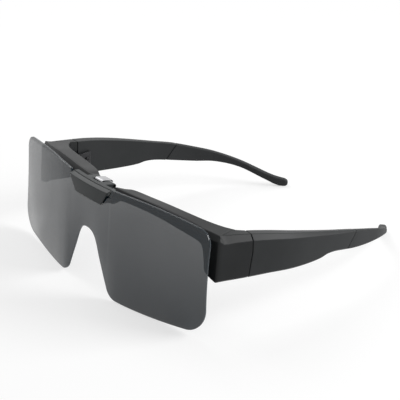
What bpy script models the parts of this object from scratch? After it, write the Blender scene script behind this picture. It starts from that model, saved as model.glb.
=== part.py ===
"""Flip-up fit-over sunglasses, as an assembly of separate solids.

Metres, +Z up. The wearer looks along -Y and their left is +X. The origin is on the floor under the middle
of the overall box. The open sunglasses stand on the two lobes of the lens and on the two temple tips.
"""

import math

import bmesh
import bpy
from mathutils import Matrix, Vector

# Fits and small features that pieces share.
SEAT_GAP = 0.0003
RUNNING_GAP = 0.0003
BORE_GAP = 0.00025
CUT_OVERRUN = 0.003

# Lens: a flat outline, bent round an arc in the middle, with straight wings, and leaning to the rear.
LENS_HALF_WIDTH = 0.07255
LENS_THICKNESS = 0.0011
LENS_RADIUS = 0.138
LENS_WING_ANGLE = math.radians(12.3)
LENS_TILT = math.radians(3.6)
LENS_HEIGHT = 0.05037
LENS_TOP_BOW = 0.00157
LENS_OUTER_TOP_DROP = 0.00092
LENS_OUTER_TOP_ROUND = 0.0063
LENS_SIDE_BOW = 0.0005
LENS_OUTER_BOTTOM_RISE = 0.00216
LENS_OUTER_BOTTOM_ROUND = 0.0114
LENS_BOTTOM_BOW = 0.00074
LENS_LOBE_SIDE = 0.01754
LENS_LOBE_ROUND = 0.0072
NOSE_SHOULDER_SIDE = 0.01007
NOSE_SHOULDER_HEIGHT = 0.01654
NOSE_ARCH_HEIGHT = 0.02872
NOSE_ARCH_PULL = 0.0066
LENS_BEND_STATIONS = 12
LENS_ROUND_STEPS = 6

# Lens bracket: a cover in front of the lens and a plate behind it, held by two screws.
BRACKET_HALF_WIDTH = 0.0143
BRACKET_FOOT_HALF_WIDTH = 0.0091
BRACKET_HEIGHT = 0.0078
BRACKET_RISE = 0.00025
BRACKET_STATIONS = 8
COVER_THICKNESS = 0.0009
COVER_FOOT_THICKNESS = 0.0004
COVER_BEVEL_HEIGHT = 0.0010
LIP_THICKNESS = 0.0027
BACK_THICKNESS = 0.0024
BACK_TOP_FALL = 0.0001
BRACKET_SCREW_SIDE = 0.0086
BRACKET_SCREW_DROP = 0.0050

# Flip hinge: two lugs of the back plate turn on a pin through the base.
PIN_DEPTH = 0.0088
PIN_DROP = 0.0015
PIN_RADIUS = 0.0004
LUG_INNER = 0.0030
LUG_WIDTH = 0.0042
LUG_EYE_RADIUS = 0.0011
LUG_ROOT_HEIGHT = 0.0034
LUG_EYE_END = math.radians(78)
BASE_FOOT_DROP = 0.0040
BASE_FOOT_THICKNESS = 0.0008
BASE_FOOT_MARGIN = 0.0004
BASE_FOOT_SIDE = 0.0007
BASE_FRONT_REACH = 0.0022
BASE_REAR_REACH = 0.0019
BASE_BLOCK_RISE = 0.00095
SPRING_THICKNESS = 0.0003
SPRING_OVERHANG = 0.0005
SPRING_LIP = 0.0009
SPRING_SLOPE = 0.21
NOTCH_SIDE_GAP = 0.0028
BASE_SCREW_SIDE = 0.0051

# Front frame: the brow bar follows the lens, and turns the corner into a deep end piece.
FRAME_STANDOFF = 0.0055
CORNER_SETBACK = 0.0011
CORNER_INSET = 0.0015
CORNER_ROUND = 0.0016
BROW_BELOW_LENS_TOP = 0.0012
BROW_FALL = 0.0052
BROW_CHAMFER_HEIGHT = 0.0023
BROW_CHAMFER_DEPTH = 0.0019
BROW_HEIGHT = 0.0040
BROW_DEPTH = 0.0070
BROW_TOP_SLOPE = 0.26
RIM_DEPTH = 0.0035
END_HEIGHT = 0.0209
END_FLANGE_THICKNESS = 0.0045

# Arms: one outline runs from the frame's corner, over the hinge seam and the tip's seam, to the tip's end.
ARM_LENGTH = 0.1340
ARM_THICKNESS = 0.0070
ARM_CHAMFER_WIDTH = 0.0023
ARM_CHAMFER_HEIGHT = 0.0034
ARM_BOTTOM_CHAMFER = 0.0008
ARM_INNER_FALL = 0.0002
HINGE_SEAM_SETBACK = 0.0164
HINGE_SEAM_SLANT = 0.0047
TIP_SEAM_SETBACK = 0.0807
TIP_SEAM_SLANT = 0.0067
TANG_LENGTH = 0.0110
TANG_THICKNESS = 0.0011
TANG_HEIGHT = 0.0042
TIP_END_ROUND = 0.0017

# Temple hinges: two knuckles on the frame's leaf, one on the temple's.
HINGE_AXIS_INSET = 0.0082
HINGE_RADIUS = 0.0017
HINGE_KNUCKLE_HEIGHT = 0.0024
HINGE_LEAF_THICKNESS = 0.0012
HINGE_LEAF_LENGTH = 0.0085
HINGE_LEAF_OFFSET = 0.0014
LEAF_SCREW_SETBACK = 0.0052

# Screws.
SCREW_RADIUS = 0.0006
SCREW_HEAD_RADIUS = 0.0011
SCREW_HEAD_HEIGHT = 0.0006
SCREW_BITE = 0.0030
PIVOT_RADIUS = 0.0007
PIVOT_HEAD_RADIUS = 0.0013
PIVOT_HEAD_HEIGHT = 0.0007
ROUND_STEPS = 20
SHARP_ANGLE = math.radians(30)
FLATNESS_ANGLE = math.radians(0.05)

# Share of the corner's distance from the middle: share of the brow line's fall, of the bar's height, of its
# depth and of its top's slope. The bar hangs down over the bridge, dips at the notch and deepens into a gusset
# at the corner.
BROW_FALL_SHARES = (
    (0.0, 0.0),
    (0.15, 0.01),
    (0.29, 0.04),
    (0.43, 0.12),
    (0.57, 0.28),
    (0.72, 0.51),
    (0.86, 0.80),
    (1.0, 1.0),
)
BROW_HEIGHT_SHARES = (
    (0.0, 2.10),
    (0.10, 2.08),
    (0.15, 1.86),
    (0.21, 1.15),
    (0.29, 0.97),
    (0.40, 0.93),
    (0.57, 1.05),
    (0.72, 1.27),
    (0.82, 1.38),
)
BROW_DEPTH_SHARES = (
    (0.0, 0.62),
    (0.12, 0.66),
    (0.143, 0.72),
    (0.20, 0.89),
    (0.26, 1.04),
    (0.34, 1.15),
    (0.42, 1.12),
    (0.50, 1.07),
    (0.62, 1.04),
    (0.72, 1.08),
    (0.79, 1.22),
    (0.87, 1.52),
    (0.90, 1.70),
    (0.93, 1.88),
)
BROW_SLOPE_SHARES = (
    (0.0, 1.75),
    (0.143, 1.73),
    (0.158, 1.42),
    (0.172, 1.19),
    (0.20, 0.92),
    (0.34, 1.08),
    (0.50, 0.90),
    (0.72, 0.66),
    (1.0, 0.66),
)
BROW_STATION_SHARES = (0.0, 0.09, 0.125, 0.15, 0.18, 0.21, 0.26, 0.34, 0.43, 0.52, 0.61, 0.70, 0.77, 0.82)
# The side rim's inner edge: shares of the corner's distance from the middle, for the edge and for the
# gusset's rear edge behind it, and the share of the end piece's height that it drops.
RIM_EDGE_SHARES = ((0.870, 0.845, 0.263), (0.893, 0.862, 0.40), (0.906, 0.875, 0.64), (0.921, 0.886, 0.97))
# The gusset's rear edge behind three stations of the corner and two of the end piece, as shares of the
# corner's distance from the middle, and those two stations as shares of the arm's length.
GUSSET_SHARES = (0.896, 0.904, 0.911, 0.917, 0.922)
END_STATION_SHARES = (0.030, 0.060)

# Share of the arm's length: shares of the corner's distance from the middle, of the corner's top height, of
# its bottom height, and of the arm's thickness, chamfer width and chamfer height.
ARM_OUT_SHARES = (
    (0.0, 1.0),
    (0.10, 1.019),
    (0.19, 1.042),
    (0.28, 1.054),
    (0.37, 1.044),
    (0.50, 1.017),
    (0.59, 0.994),
    (0.68, 0.955),
    (0.77, 0.892),
    (0.86, 0.792),
    (0.95, 0.627),
    (1.0, 0.525),
)
ARM_TOP_SHARES = (
    (0.0, 1.0),
    (0.10, 0.945),
    (0.19, 0.887),
    (0.28, 0.825),
    (0.37, 0.760),
    (0.50, 0.665),
    (0.59, 0.598),
    (0.68, 0.518),
    (0.77, 0.415),
    (0.86, 0.279),
    (0.95, 0.124),
    (1.0, 0.062),
)
ARM_BOTTOM_SHARES = (
    (0.0, 1.0),
    (0.10, 0.947),
    (0.19, 0.921),
    (0.28, 0.874),
    (0.37, 0.840),
    (0.425, 0.840),
    (0.455, 0.866),
    (0.50, 0.846),
    (0.59, 0.740),
    (0.68, 0.659),
    (0.77, 0.539),
    (0.86, 0.324),
    (0.93, 0.105),
    (0.965, 0.0),
    (1.0, 0.0),
)
ARM_THICKNESS_SHARES = (
    (0.0, 0.79),
    (0.05, 0.89),
    (0.12, 0.94),
    (0.28, 0.86),
    (0.42, 0.62),
    (0.57, 0.46),
    (0.70, 0.38),
    (1.0, 0.35),
)
ARM_CHAMFER_WIDTH_SHARES = ((0.0, 1.0), (0.12, 0.87), (0.28, 0.74), (0.50, 0.55), (0.60, 0.25), (1.0, 0.20))
ARM_CHAMFER_HEIGHT_SHARES = (
    (0.0, 1.0),
    (0.12, 0.77),
    (0.28, 0.59),
    (0.50, 0.35),
    (0.60, 0.16),
    (1.0, 0.12),
)
ARM_SLOPE_STEP_SHARE = 0.002
# Stations along the temple, as shares of the way from the hinge seam to the tip's seam, and along the tip,
# as shares of the way from its seam to its end.
TEMPLE_STATION_SHARES = (0.078, 0.203, 0.328, 0.453, 0.558, 0.631, 0.672, 0.724, 0.829)
TIP_STATION_SHARES = (0.095, 0.221, 0.346, 0.472, 0.598, 0.698, 0.799, 0.9121)
HINGE_SEAM_KNEE_SHARE = 0.6
HINGE_LEVEL_SHARE = 0.47


def follow(rows, share):
    """The value at a share, on a smooth curve through rows of (share, value)."""
    last = len(rows) - 1
    index = max(i for i in range(last) if i == 0 or rows[i][0] <= share)
    (x0, y0), (x1, y1) = rows[index], rows[index + 1]

    def slope(i):
        low, high = rows[max(i - 1, 0)], rows[min(i + 1, last)]
        return (high[1] - low[1]) / (high[0] - low[0])

    span = x1 - x0
    t = (share - x0) / span
    rise = y1 - y0
    start, end = slope(index) * span, slope(index + 1) * span
    return y0 + t * (start + t * (3 * rise - 2 * start - end + t * (start + end - 2 * rise)))


def lens_bend(along):
    """Where a length along the lens's front lands in plan: (x, sag, angle)."""
    side = -1 if along < 0 else 1
    arc = LENS_RADIUS * LENS_WING_ANGLE
    bent = min(abs(along), arc)
    angle = bent / LENS_RADIUS
    straight = abs(along) - bent
    x = LENS_RADIUS * math.sin(angle) + straight * math.cos(angle)
    sag = LENS_RADIUS * (1 - math.cos(angle)) + straight * math.sin(angle)
    return side * x, sag, side * angle


def lens_along(x):
    """The length along the lens's front that lands at x in plan."""
    arc_x = LENS_RADIUS * math.sin(LENS_WING_ANGLE)
    if abs(x) <= arc_x:
        return LENS_RADIUS * math.asin(x / LENS_RADIUS)
    straight = (abs(x) - arc_x) / math.cos(LENS_WING_ANGLE)
    return math.copysign(LENS_RADIUS * LENS_WING_ANGLE + straight, x)


def tilted(x, y, height):
    """A point of the upright lens, tilted with its top to the rear."""
    lean, rise = math.sin(LENS_TILT), math.cos(LENS_TILT)
    return Vector((x, y * rise + height * lean, height * rise - y * lean))


def lens_shape(along, height, depth):
    """A point of the lens before it is placed: depth is behind its front."""
    x, sag, angle = lens_bend(along)
    return tilted(x - depth * math.sin(angle), sag + depth * math.cos(angle), height)


def corner_arc(before, corner, after, radius, steps):
    """The points of the round that replaces a corner of an outline."""
    to_before = (before - corner).normalized()
    to_after = (after - corner).normalized()
    half = math.acos(to_before.dot(to_after)) / 2
    centre = corner + (to_before + to_after).normalized() * radius / math.sin(half)
    start = corner + to_before * radius / math.tan(half) - centre
    end = corner + to_after * radius / math.tan(half) - centre
    turn = math.atan2(start.x * end.y - start.y * end.x, start.dot(end))
    return [centre + Matrix.Rotation(turn * i / steps, 2) @ start for i in range(steps + 1)]


def bowed(start, end, bow, steps):
    """The inner points of an edge that bows out to its left by bow."""
    middle = (start + end) / 2 + Vector((start.y - end.y, end.x - start.x)).normalized() * bow * 2
    shares = [i / steps for i in range(1, steps)]
    return [start * (1 - t) ** 2 + middle * 2 * t * (1 - t) + end * t**2 for t in shares]


def half_lens_outline():
    """The flat outline of the +X half, from the top of the middle round to the top of the nose arch."""
    top = Vector((0, LENS_HEIGHT))
    upper = Vector((LENS_HALF_WIDTH, LENS_HEIGHT - LENS_OUTER_TOP_DROP))
    lower = Vector((LENS_HALF_WIDTH, LENS_OUTER_BOTTOM_RISE))
    lobe = Vector((LENS_LOBE_SIDE, 0))
    shoulder = Vector((NOSE_SHOULDER_SIDE, NOSE_SHOULDER_HEIGHT))
    arch = Vector((0, NOSE_ARCH_HEIGHT))
    upper_arc = corner_arc(top, upper, lower, LENS_OUTER_TOP_ROUND, LENS_ROUND_STEPS)
    lower_arc = corner_arc(upper, lower, lobe, LENS_OUTER_BOTTOM_ROUND, LENS_ROUND_STEPS)
    lobe_arc = corner_arc(lower, lobe, shoulder, LENS_LOBE_ROUND, LENS_ROUND_STEPS)
    rise = (shoulder - lobe).normalized() * NOSE_ARCH_PULL
    pull = Vector((NOSE_ARCH_PULL, 0))
    shares = [i / LENS_ROUND_STEPS for i in range(LENS_ROUND_STEPS + 1)]
    arch_curve = [
        shoulder * (1 - t) ** 3
        + (shoulder + rise) * 3 * t * (1 - t) ** 2
        + (arch + pull) * 3 * t**2 * (1 - t)
        + arch * t**3
        for t in shares
    ]
    return (
        [top]
        + bowed(top, upper_arc[0], LENS_TOP_BOW, LENS_ROUND_STEPS)
        + upper_arc
        + bowed(upper_arc[-1], lower_arc[0], -LENS_SIDE_BOW, LENS_ROUND_STEPS // 2)
        + lower_arc
        + bowed(lower_arc[-1], lobe_arc[0], LENS_BOTTOM_BOW, LENS_ROUND_STEPS // 2)
        + lobe_arc
        + arch_curve
    )


lens_edge = [lens_shape(p.x, p.y, depth) for p in half_lens_outline() for depth in (0, LENS_THICKNESS)]
corner_x = lens_bend(LENS_HALF_WIDTH)[0] - CORNER_INSET
corner_depth = FRAME_STANDOFF + CORNER_SETBACK
arm_front_from_lens = lens_shape(lens_along(corner_x), LENS_HEIGHT, 0).y + corner_depth
overall_front = min(p.y for p in lens_edge)
overall_rear = arm_front_from_lens + ARM_LENGTH
lens_origin = Vector((0, -(overall_front + overall_rear) / 2, -min(p.z for p in lens_edge)))
arm_front = lens_origin.y + arm_front_from_lens


def on_lens(along, height, depth):
    return lens_origin + lens_shape(along, height, depth)


def front_y(x, z):
    """The y of the frame's front face."""
    sag = lens_bend(lens_along(x))[1]
    height = (z - lens_origin.z + sag * math.sin(LENS_TILT)) / math.cos(LENS_TILT)
    setback = FRAME_STANDOFF + CORNER_SETBACK * min(abs(x) / corner_x, 1) ** 4
    return on_lens(lens_along(x), height, 0).y + setback


pin = on_lens(0, LENS_HEIGHT - PIN_DROP, PIN_DEPTH)
brow_top = on_lens(0, LENS_HEIGHT, 0).z - BROW_BELOW_LENS_TOP
corner_top = brow_top - BROW_FALL
corner_bottom = corner_top - END_HEIGHT
hinge_seam = HINGE_SEAM_SETBACK / ARM_LENGTH
tip_seam = TIP_SEAM_SETBACK / ARM_LENGTH


def arm_plan(share):
    """The arm's outer line in plan: its point and its direction to the inside."""
    point = Vector((corner_x * follow(ARM_OUT_SHARES, share), arm_front + ARM_LENGTH * share))
    ahead = min(share + ARM_SLOPE_STEP_SHARE, 1)
    behind = max(share - ARM_SLOPE_STEP_SHARE, 0)
    spread = corner_x * (follow(ARM_OUT_SHARES, ahead) - follow(ARM_OUT_SHARES, behind))
    return point, Vector((-ARM_LENGTH * (ahead - behind), spread)).normalized()


def arm_section(share):
    """Eight corners of the arm's section, from the inner bottom edge round the outside to the inside."""
    top = corner_top * follow(ARM_TOP_SHARES, share)
    bottom = corner_bottom * max(follow(ARM_BOTTOM_SHARES, share), 0)
    thickness = ARM_THICKNESS * follow(ARM_THICKNESS_SHARES, share)
    chamfer_width = ARM_CHAMFER_WIDTH * follow(ARM_CHAMFER_WIDTH_SHARES, share)
    chamfer_height = ARM_CHAMFER_HEIGHT * follow(ARM_CHAMFER_HEIGHT_SHARES, share)
    low = min(ARM_BOTTOM_CHAMFER, (top - bottom) / 4)
    knee = bottom + (top - bottom) * HINGE_SEAM_KNEE_SHARE
    corners = (
        (thickness, bottom),
        (low, bottom),
        (0, bottom + low),
        (0, knee),
        (0, top - chamfer_height),
        (chamfer_width, top),
        (thickness, top - ARM_INNER_FALL),
        (thickness, knee),
    )
    point, inward = arm_plan(share)
    return [Vector((point.x + inward.x * d, point.y + inward.y * d, z)) for d, z in corners]


def stretch(start, end, shares):
    """Stations along the arm, from shares of the way between two of them."""
    return [start + (end - start) * share for share in shares]


def seam_section(share, slant, knee, gap):
    """The section at a seam, which runs straight down to its knee and then slants to the front."""
    section = arm_section(share)
    low, high = section[0].z, max(p.z for p in section)
    found = []
    for index, corner in enumerate(section):
        level = (corner.z - low) / (high - low)
        forward = slant * max(knee - level, 0) / knee
        found.append(arm_section(share + (gap - forward) / ARM_LENGTH)[index])
    return found


def finish(name, color, roughness, metallic=0.0, alpha=1.0):
    """A plain material of one colour."""
    material = bpy.data.materials.new(name)
    material.use_nodes = True
    surface = material.node_tree.nodes["Principled BSDF"]
    surface.inputs["Base Color"].default_value = (*color, 1)
    surface.inputs["Roughness"].default_value = roughness
    surface.inputs["Metallic"].default_value = metallic
    surface.inputs["Alpha"].default_value = alpha
    material.diffuse_color = (*color, alpha)
    return material


def mesh_object(name, bm, look, parent):
    """Turns a bmesh in world coordinates into an object, whose origin is that of its parent."""
    bmesh.ops.recalc_face_normals(bm, faces=bm.faces)
    if parent:
        bmesh.ops.translate(bm, verts=bm.verts, vec=-parent.location)
    mesh = bpy.data.meshes.new(name)
    bm.to_mesh(mesh)
    bm.free()
    obj = bpy.data.objects.new(name, mesh)
    bpy.context.scene.collection.objects.link(obj)
    obj.parent = parent
    if look:
        mesh.materials.append(finish(name, **look))
    mesh.shade_smooth()
    mesh.set_sharp_from_angle(angle=SHARP_ANGLE)
    return obj


def helper(name, bm, parent=None):
    """A cutter or an added shape, which a Boolean uses and a render leaves out."""
    obj = mesh_object(name, bm, None, parent)
    obj.hide_render = True
    obj.display_type = "WIRE"
    return obj


def combine(obj, other, operation):
    modifier = obj.modifiers.new(other.name, "BOOLEAN")
    modifier.object = other
    modifier.operation = operation


def loft(rings, strip_caps=False):
    """A closed solid through rings of equal count. End rings that aren't flat get a strip as their cap."""
    bm = bmesh.new()
    loops = [[bm.verts.new(p) for p in ring] for ring in rings]
    count = len(loops[0])
    for one, two in zip(loops, loops[1:]):
        for i in range(count):
            j = (i + 1) % count
            bm.faces.new((one[i], one[j], two[j], two[i]))
    for loop in (loops[0], loops[-1]):
        if not strip_caps:
            bm.faces.new(loop)
            continue
        for i in range(count // 2 - 1):
            bm.faces.new((loop[i + 1], loop[i + 2], loop[count - i - 1], loop[(count - i) % count]))
    bmesh.ops.connect_verts_nonplanar(bm, angle_limit=FLATNESS_ANGLE, faces=bm.faces)
    return bm


def prism(outline, shift):
    """A flat outline of 3-D points, extruded by a vector."""
    return loft([outline, [p + shift for p in outline]])


def block(low, high):
    """A box between two opposite corners."""
    floor = [(low.x, low.y), (high.x, low.y), (high.x, high.y), (low.x, high.y)]
    return prism([Vector((x, y, low.z)) for x, y in floor], Vector((0, 0, high.z - low.z)))


def turned(profile, place):
    """A round solid through (radius, height) pairs about the z axis of a placing matrix."""
    turns = [2 * math.pi * i / ROUND_STEPS for i in range(ROUND_STEPS)]
    rings = []
    for radius, height in profile:
        rings.append([place @ Vector((radius * math.cos(a), radius * math.sin(a), height)) for a in turns])
    return loft(rings)


leaf_screw = (SCREW_RADIUS, SCREW_HEAD_RADIUS, SCREW_HEAD_HEIGHT)
pivot_screw = (PIVOT_RADIUS, PIVOT_HEAD_RADIUS, PIVOT_HEAD_HEIGHT)


def screw(name, place, length, look, parent, kind=leaf_screw):
    """A screw whose head sits on the placing matrix's plane, with its shank going down."""
    radius, head, height = kind
    rounding = height / 4
    rim = height - rounding
    profile = ((radius, -length), (radius, 0), (head, 0), (head, rim), (head - rounding, height))
    return mesh_object(name, turned(profile, place), look, parent)


def screw_hole(name, place, depth, overrun=0, parent=None):
    """A cutter for a screw's shank."""
    bore = SCREW_RADIUS + BORE_GAP
    return helper(name, turned(((bore, -depth - BORE_GAP), (bore, overrun)), place), parent)


def facing(point, direction):
    """A placing matrix whose z axis points in a direction."""
    turn = direction.to_track_quat("Z", "Y").to_matrix().to_4x4()
    return Matrix.Translation(point) @ turn


def lens_facing(along, height, depth):
    """A placing matrix at a point of the lens, whose z axis points to the rear."""
    rearward = on_lens(along, height, depth + LENS_THICKNESS) - on_lens(along, height, depth)
    return facing(on_lens(along, height, depth), rearward)


def bracket_screw_place(side, depth):
    return lens_facing(side * BRACKET_SCREW_SIDE, LENS_HEIGHT - BRACKET_SCREW_DROP, depth)


def bracket_ring(corners, share):
    """The bracket's section at a share of its half width, which narrows to its foot."""
    ring = []
    for depth, height in corners:
        level = (height - bracket_foot) / BRACKET_HEIGHT
        half_width = BRACKET_FOOT_HALF_WIDTH + (BRACKET_HALF_WIDTH - BRACKET_FOOT_HALF_WIDTH) * level
        ring.append(on_lens(share * half_width, height, depth))
    return ring


def bracket_shape(corners):
    steps = range(-BRACKET_STATIONS, BRACKET_STATIONS + 1)
    return loft([bracket_ring(corners, i / BRACKET_STATIONS) for i in steps])


bracket_top = LENS_HEIGHT + BRACKET_RISE
bracket_foot = bracket_top - BRACKET_HEIGHT
lip_underside = LENS_HEIGHT - LIP_THICKNESS
back_front = LENS_THICKNESS + SEAT_GAP
back_rear = back_front + BACK_THICKNESS
cover_front = -SEAT_GAP - COVER_THICKNESS


def build_lens(look, parent):
    """The bent shield, with a notch under the bracket's lip and two screw holes."""
    half = half_lens_outline()
    outline = half + [Vector((-p.x, p.y)) for p in reversed(half[1:-1])]
    bm = prism([Vector((p.x, 0, p.y)) for p in outline], Vector((0, LENS_THICKNESS, 0)))
    arc = LENS_RADIUS * LENS_WING_ANGLE
    for i in range(LENS_BEND_STATIONS + 1):
        station = Vector((arc * (2 * i / LENS_BEND_STATIONS - 1), 0, 0))
        everything = bm.verts[:] + bm.edges[:] + bm.faces[:]
        bmesh.ops.bisect_plane(bm, geom=everything, plane_co=station, plane_no=Vector((1, 0, 0)))
    for vert in bm.verts:
        vert.co = on_lens(vert.co.x, vert.co.z, vert.co.y)
    lens = mesh_object("shield_lens", bm, look, parent)
    notch = (
        (-CUT_OVERRUN, LENS_HEIGHT - LIP_THICKNESS - SEAT_GAP),
        (LENS_THICKNESS + CUT_OVERRUN, LENS_HEIGHT - LIP_THICKNESS - SEAT_GAP),
        (LENS_THICKNESS + CUT_OVERRUN, LENS_HEIGHT + CUT_OVERRUN),
        (-CUT_OVERRUN, LENS_HEIGHT + CUT_OVERRUN),
    )
    side = BRACKET_HALF_WIDTH + SEAT_GAP
    steps = range(-BRACKET_STATIONS, BRACKET_STATIONS + 1)
    rings = [[on_lens(side * i / BRACKET_STATIONS, h, d) for d, h in notch] for i in steps]
    combine(lens, helper("lens_notch_cut", loft(rings), parent), "DIFFERENCE")
    for side, word in ((1, "left"), (-1, "right")):
        place = bracket_screw_place(side, LENS_THICKNESS)
        depth = LENS_THICKNESS + CUT_OVERRUN
        combine(lens, screw_hole(f"lens_hole_{word}", place, depth, CUT_OVERRUN, parent), "DIFFERENCE")


def build_bracket(plastic, steel, parent):
    """The cover, the back plate with its lugs, and the two screws."""
    cover = mesh_object(
        "bracket_cover",
        bracket_shape(
            (
                (-SEAT_GAP, bracket_foot),
                (-SEAT_GAP - COVER_FOOT_THICKNESS, bracket_foot),
                (cover_front, bracket_top - COVER_BEVEL_HEIGHT),
                (LENS_THICKNESS, bracket_top),
                (LENS_THICKNESS, lip_underside),
                (-SEAT_GAP, lip_underside),
            )
        ),
        plastic,
        parent,
    )
    back = mesh_object(
        "bracket_back",
        bracket_shape(
            (
                (back_front, bracket_foot),
                (back_front, bracket_top),
                (back_rear, bracket_top - BACK_TOP_FALL),
                (back_rear, bracket_foot),
            )
        ),
        plastic,
        parent,
    )
    for side, word in ((1, "left"), (-1, "right")):
        combine(back, helper(f"lug_{word}", lug_shape(side), parent), "UNION")
    pin_bore = PIN_RADIUS + BORE_GAP
    half = LUG_INNER + LUG_WIDTH + CUT_OVERRUN
    across = facing(pin, Vector((1, 0, 0)))
    bore = helper("lug_bore", turned(((pin_bore, -half), (pin_bore, half)), across), parent)
    combine(back, bore, "DIFFERENCE")
    for side, word in ((1, "left"), (-1, "right")):
        seat = back_rear - SCREW_HEAD_HEIGHT - SEAT_GAP
        depth = seat - cover_front - COVER_THICKNESS / 2
        place = bracket_screw_place(side, seat)
        screw(f"bracket_screw_{word}", place, depth, steel, parent)
        combine(back, screw_hole(f"back_hole_{word}", place, depth, parent=parent), "DIFFERENCE")
        combine(cover, screw_hole(f"cover_hole_{word}", place, depth, parent=parent), "DIFFERENCE")
        head = SCREW_HEAD_RADIUS + BORE_GAP
        sink = turned(((head, -SEAT_GAP), (head, SCREW_HEAD_HEIGHT + CUT_OVERRUN)), place)
        combine(back, helper(f"back_sink_{word}", sink, parent), "DIFFERENCE")


def lug_shape(side):
    """A lug: an eye round the pin and two edges that run forward into the back plate."""
    inside = (back_front + back_rear) / 2
    top = on_lens(0, bracket_top - BACK_TOP_FALL / 2, inside)
    low = on_lens(0, bracket_top - BACK_TOP_FALL / 2 - LUG_ROOT_HEIGHT, inside)
    outline = [top, low]
    start = -math.pi / 2
    steps = ROUND_STEPS // 2
    for i in range(steps + 1):
        angle = start + (LUG_EYE_END - start) * i / steps
        outline.append(pin + Vector((0, math.cos(angle), math.sin(angle))) * LUG_EYE_RADIUS)
    inner = Vector((side * LUG_INNER, 0, 0))
    width = Vector((side * LUG_WIDTH, 0, 0))
    return prism([Vector((0, p.y, p.z)) + inner for p in outline], width)


foot_top = pin.z - BASE_FOOT_DROP
foot_bottom = foot_top - BASE_FOOT_THICKNESS
notch_floor = foot_bottom - SEAT_GAP
notch_half = LUG_INNER + LUG_WIDTH + NOTCH_SIDE_GAP
block_half = LUG_INNER - RUNNING_GAP


def block_top(forward):
    """The height of the base block's top at a distance in front of the pin."""
    return pin.z + BASE_BLOCK_RISE + SPRING_SLOPE * forward


def build_flip_hinge(plastic, steel):
    """The base in the bridge's notch, the pin, the bright leaf spring and the screws from below."""
    front, rear = pin.y - BASE_FRONT_REACH, pin.y + BASE_REAR_REACH
    foot_half = LUG_INNER + LUG_WIDTH + BASE_FOOT_SIDE
    foot_low = Vector((-foot_half, front - BASE_FOOT_MARGIN, foot_bottom))
    foot_high = Vector((foot_half, rear + BASE_FOOT_MARGIN, foot_top))
    foot = block(foot_low, foot_high)
    base = mesh_object("hinge_base", foot, plastic, None)
    profile = (
        (front, foot_bottom + BASE_FOOT_THICKNESS / 2),
        (rear, foot_bottom + BASE_FOOT_THICKNESS / 2),
        (rear, block_top(0) - LUG_EYE_RADIUS),
        (pin.y + BASE_REAR_REACH / 2, block_top(-BASE_REAR_REACH / 2)),
        (front, block_top(BASE_FRONT_REACH)),
    )
    side = [Vector((-block_half, y, z)) for y, z in profile]
    combine(base, helper("base_block", prism(side, Vector((2 * block_half, 0, 0)))), "UNION")
    bore = PIN_RADIUS + BORE_GAP
    reach = block_half + CUT_OVERRUN
    across = facing(pin, Vector((1, 0, 0)))
    combine(base, helper("base_bore", turned(((bore, -reach), (bore, reach)), across)), "DIFFERENCE")
    half = LUG_INNER + LUG_WIDTH
    mesh_object("flip_pin", turned(((PIN_RADIUS, -half), (PIN_RADIUS, half)), across), steel, None)

    over, under = SEAT_GAP + SPRING_THICKNESS, SEAT_GAP
    tail = pin.y + BASE_REAR_REACH / 2
    end = rear + SEAT_GAP
    reach = BASE_FRONT_REACH + SPRING_OVERHANG
    leaf = (
        (pin.y - reach, block_top(reach) + under),
        (pin.y - reach, block_top(reach) + over),
        (tail, block_top(-BASE_REAR_REACH / 2) + over),
        (end + SPRING_THICKNESS, block_top(-BASE_REAR_REACH) + under - SPRING_LIP),
        (end, block_top(-BASE_REAR_REACH) + under - SPRING_LIP),
        (tail, block_top(-BASE_REAR_REACH / 2) + under),
    )
    side = [Vector((-block_half, y, z)) for y, z in leaf]
    mesh_object("detent_spring", prism(side, Vector((2 * block_half, 0, 0))), steel, None)
    return base


def build_base_screws(frame, base, steel):
    """The screws that hold the base, with their heads sunk in the underside of the bridge."""
    underside = bar_bottom(BASE_SCREW_SIDE)
    seat = underside + SCREW_HEAD_HEIGHT + SEAT_GAP
    length = foot_top - BASE_FOOT_THICKNESS / 2 - seat
    for side, word in ((1, "left"), (-1, "right")):
        place = facing(Vector((side * BASE_SCREW_SIDE, pin.y, seat)), Vector((0, 0, -1)))
        screw(f"base_screw_{word}", place, length, steel, None)
        hole = screw_hole(f"bridge_hole_{word}", place, length)
        combine(frame, hole, "DIFFERENCE")
        combine(base, hole, "DIFFERENCE")
        head = SCREW_HEAD_RADIUS + BORE_GAP
        sink = turned(((head, -SEAT_GAP), (head, SCREW_HEAD_HEIGHT + CUT_OVERRUN)), place)
        combine(frame, helper(f"bridge_sink_{word}", sink), "DIFFERENCE")


def brow_z(x):
    return brow_top - BROW_FALL * follow(BROW_FALL_SHARES, abs(x) / corner_x)


def bar_bottom(x):
    return brow_z(x) - BROW_HEIGHT * follow(BROW_HEIGHT_SHARES, abs(x) / corner_x)


def bar_rear(x):
    """The rear edge of the bar's top, which slopes down from its front."""
    z = brow_z(x)
    front = front_y(x, z) + BROW_CHAMFER_DEPTH
    depth = BROW_DEPTH * follow(BROW_DEPTH_SHARES, abs(x) / corner_x)
    slope = BROW_TOP_SLOPE * follow(BROW_SLOPE_SHARES, abs(x) / corner_x)
    return Vector((x, front + depth, z - slope * depth))


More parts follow.
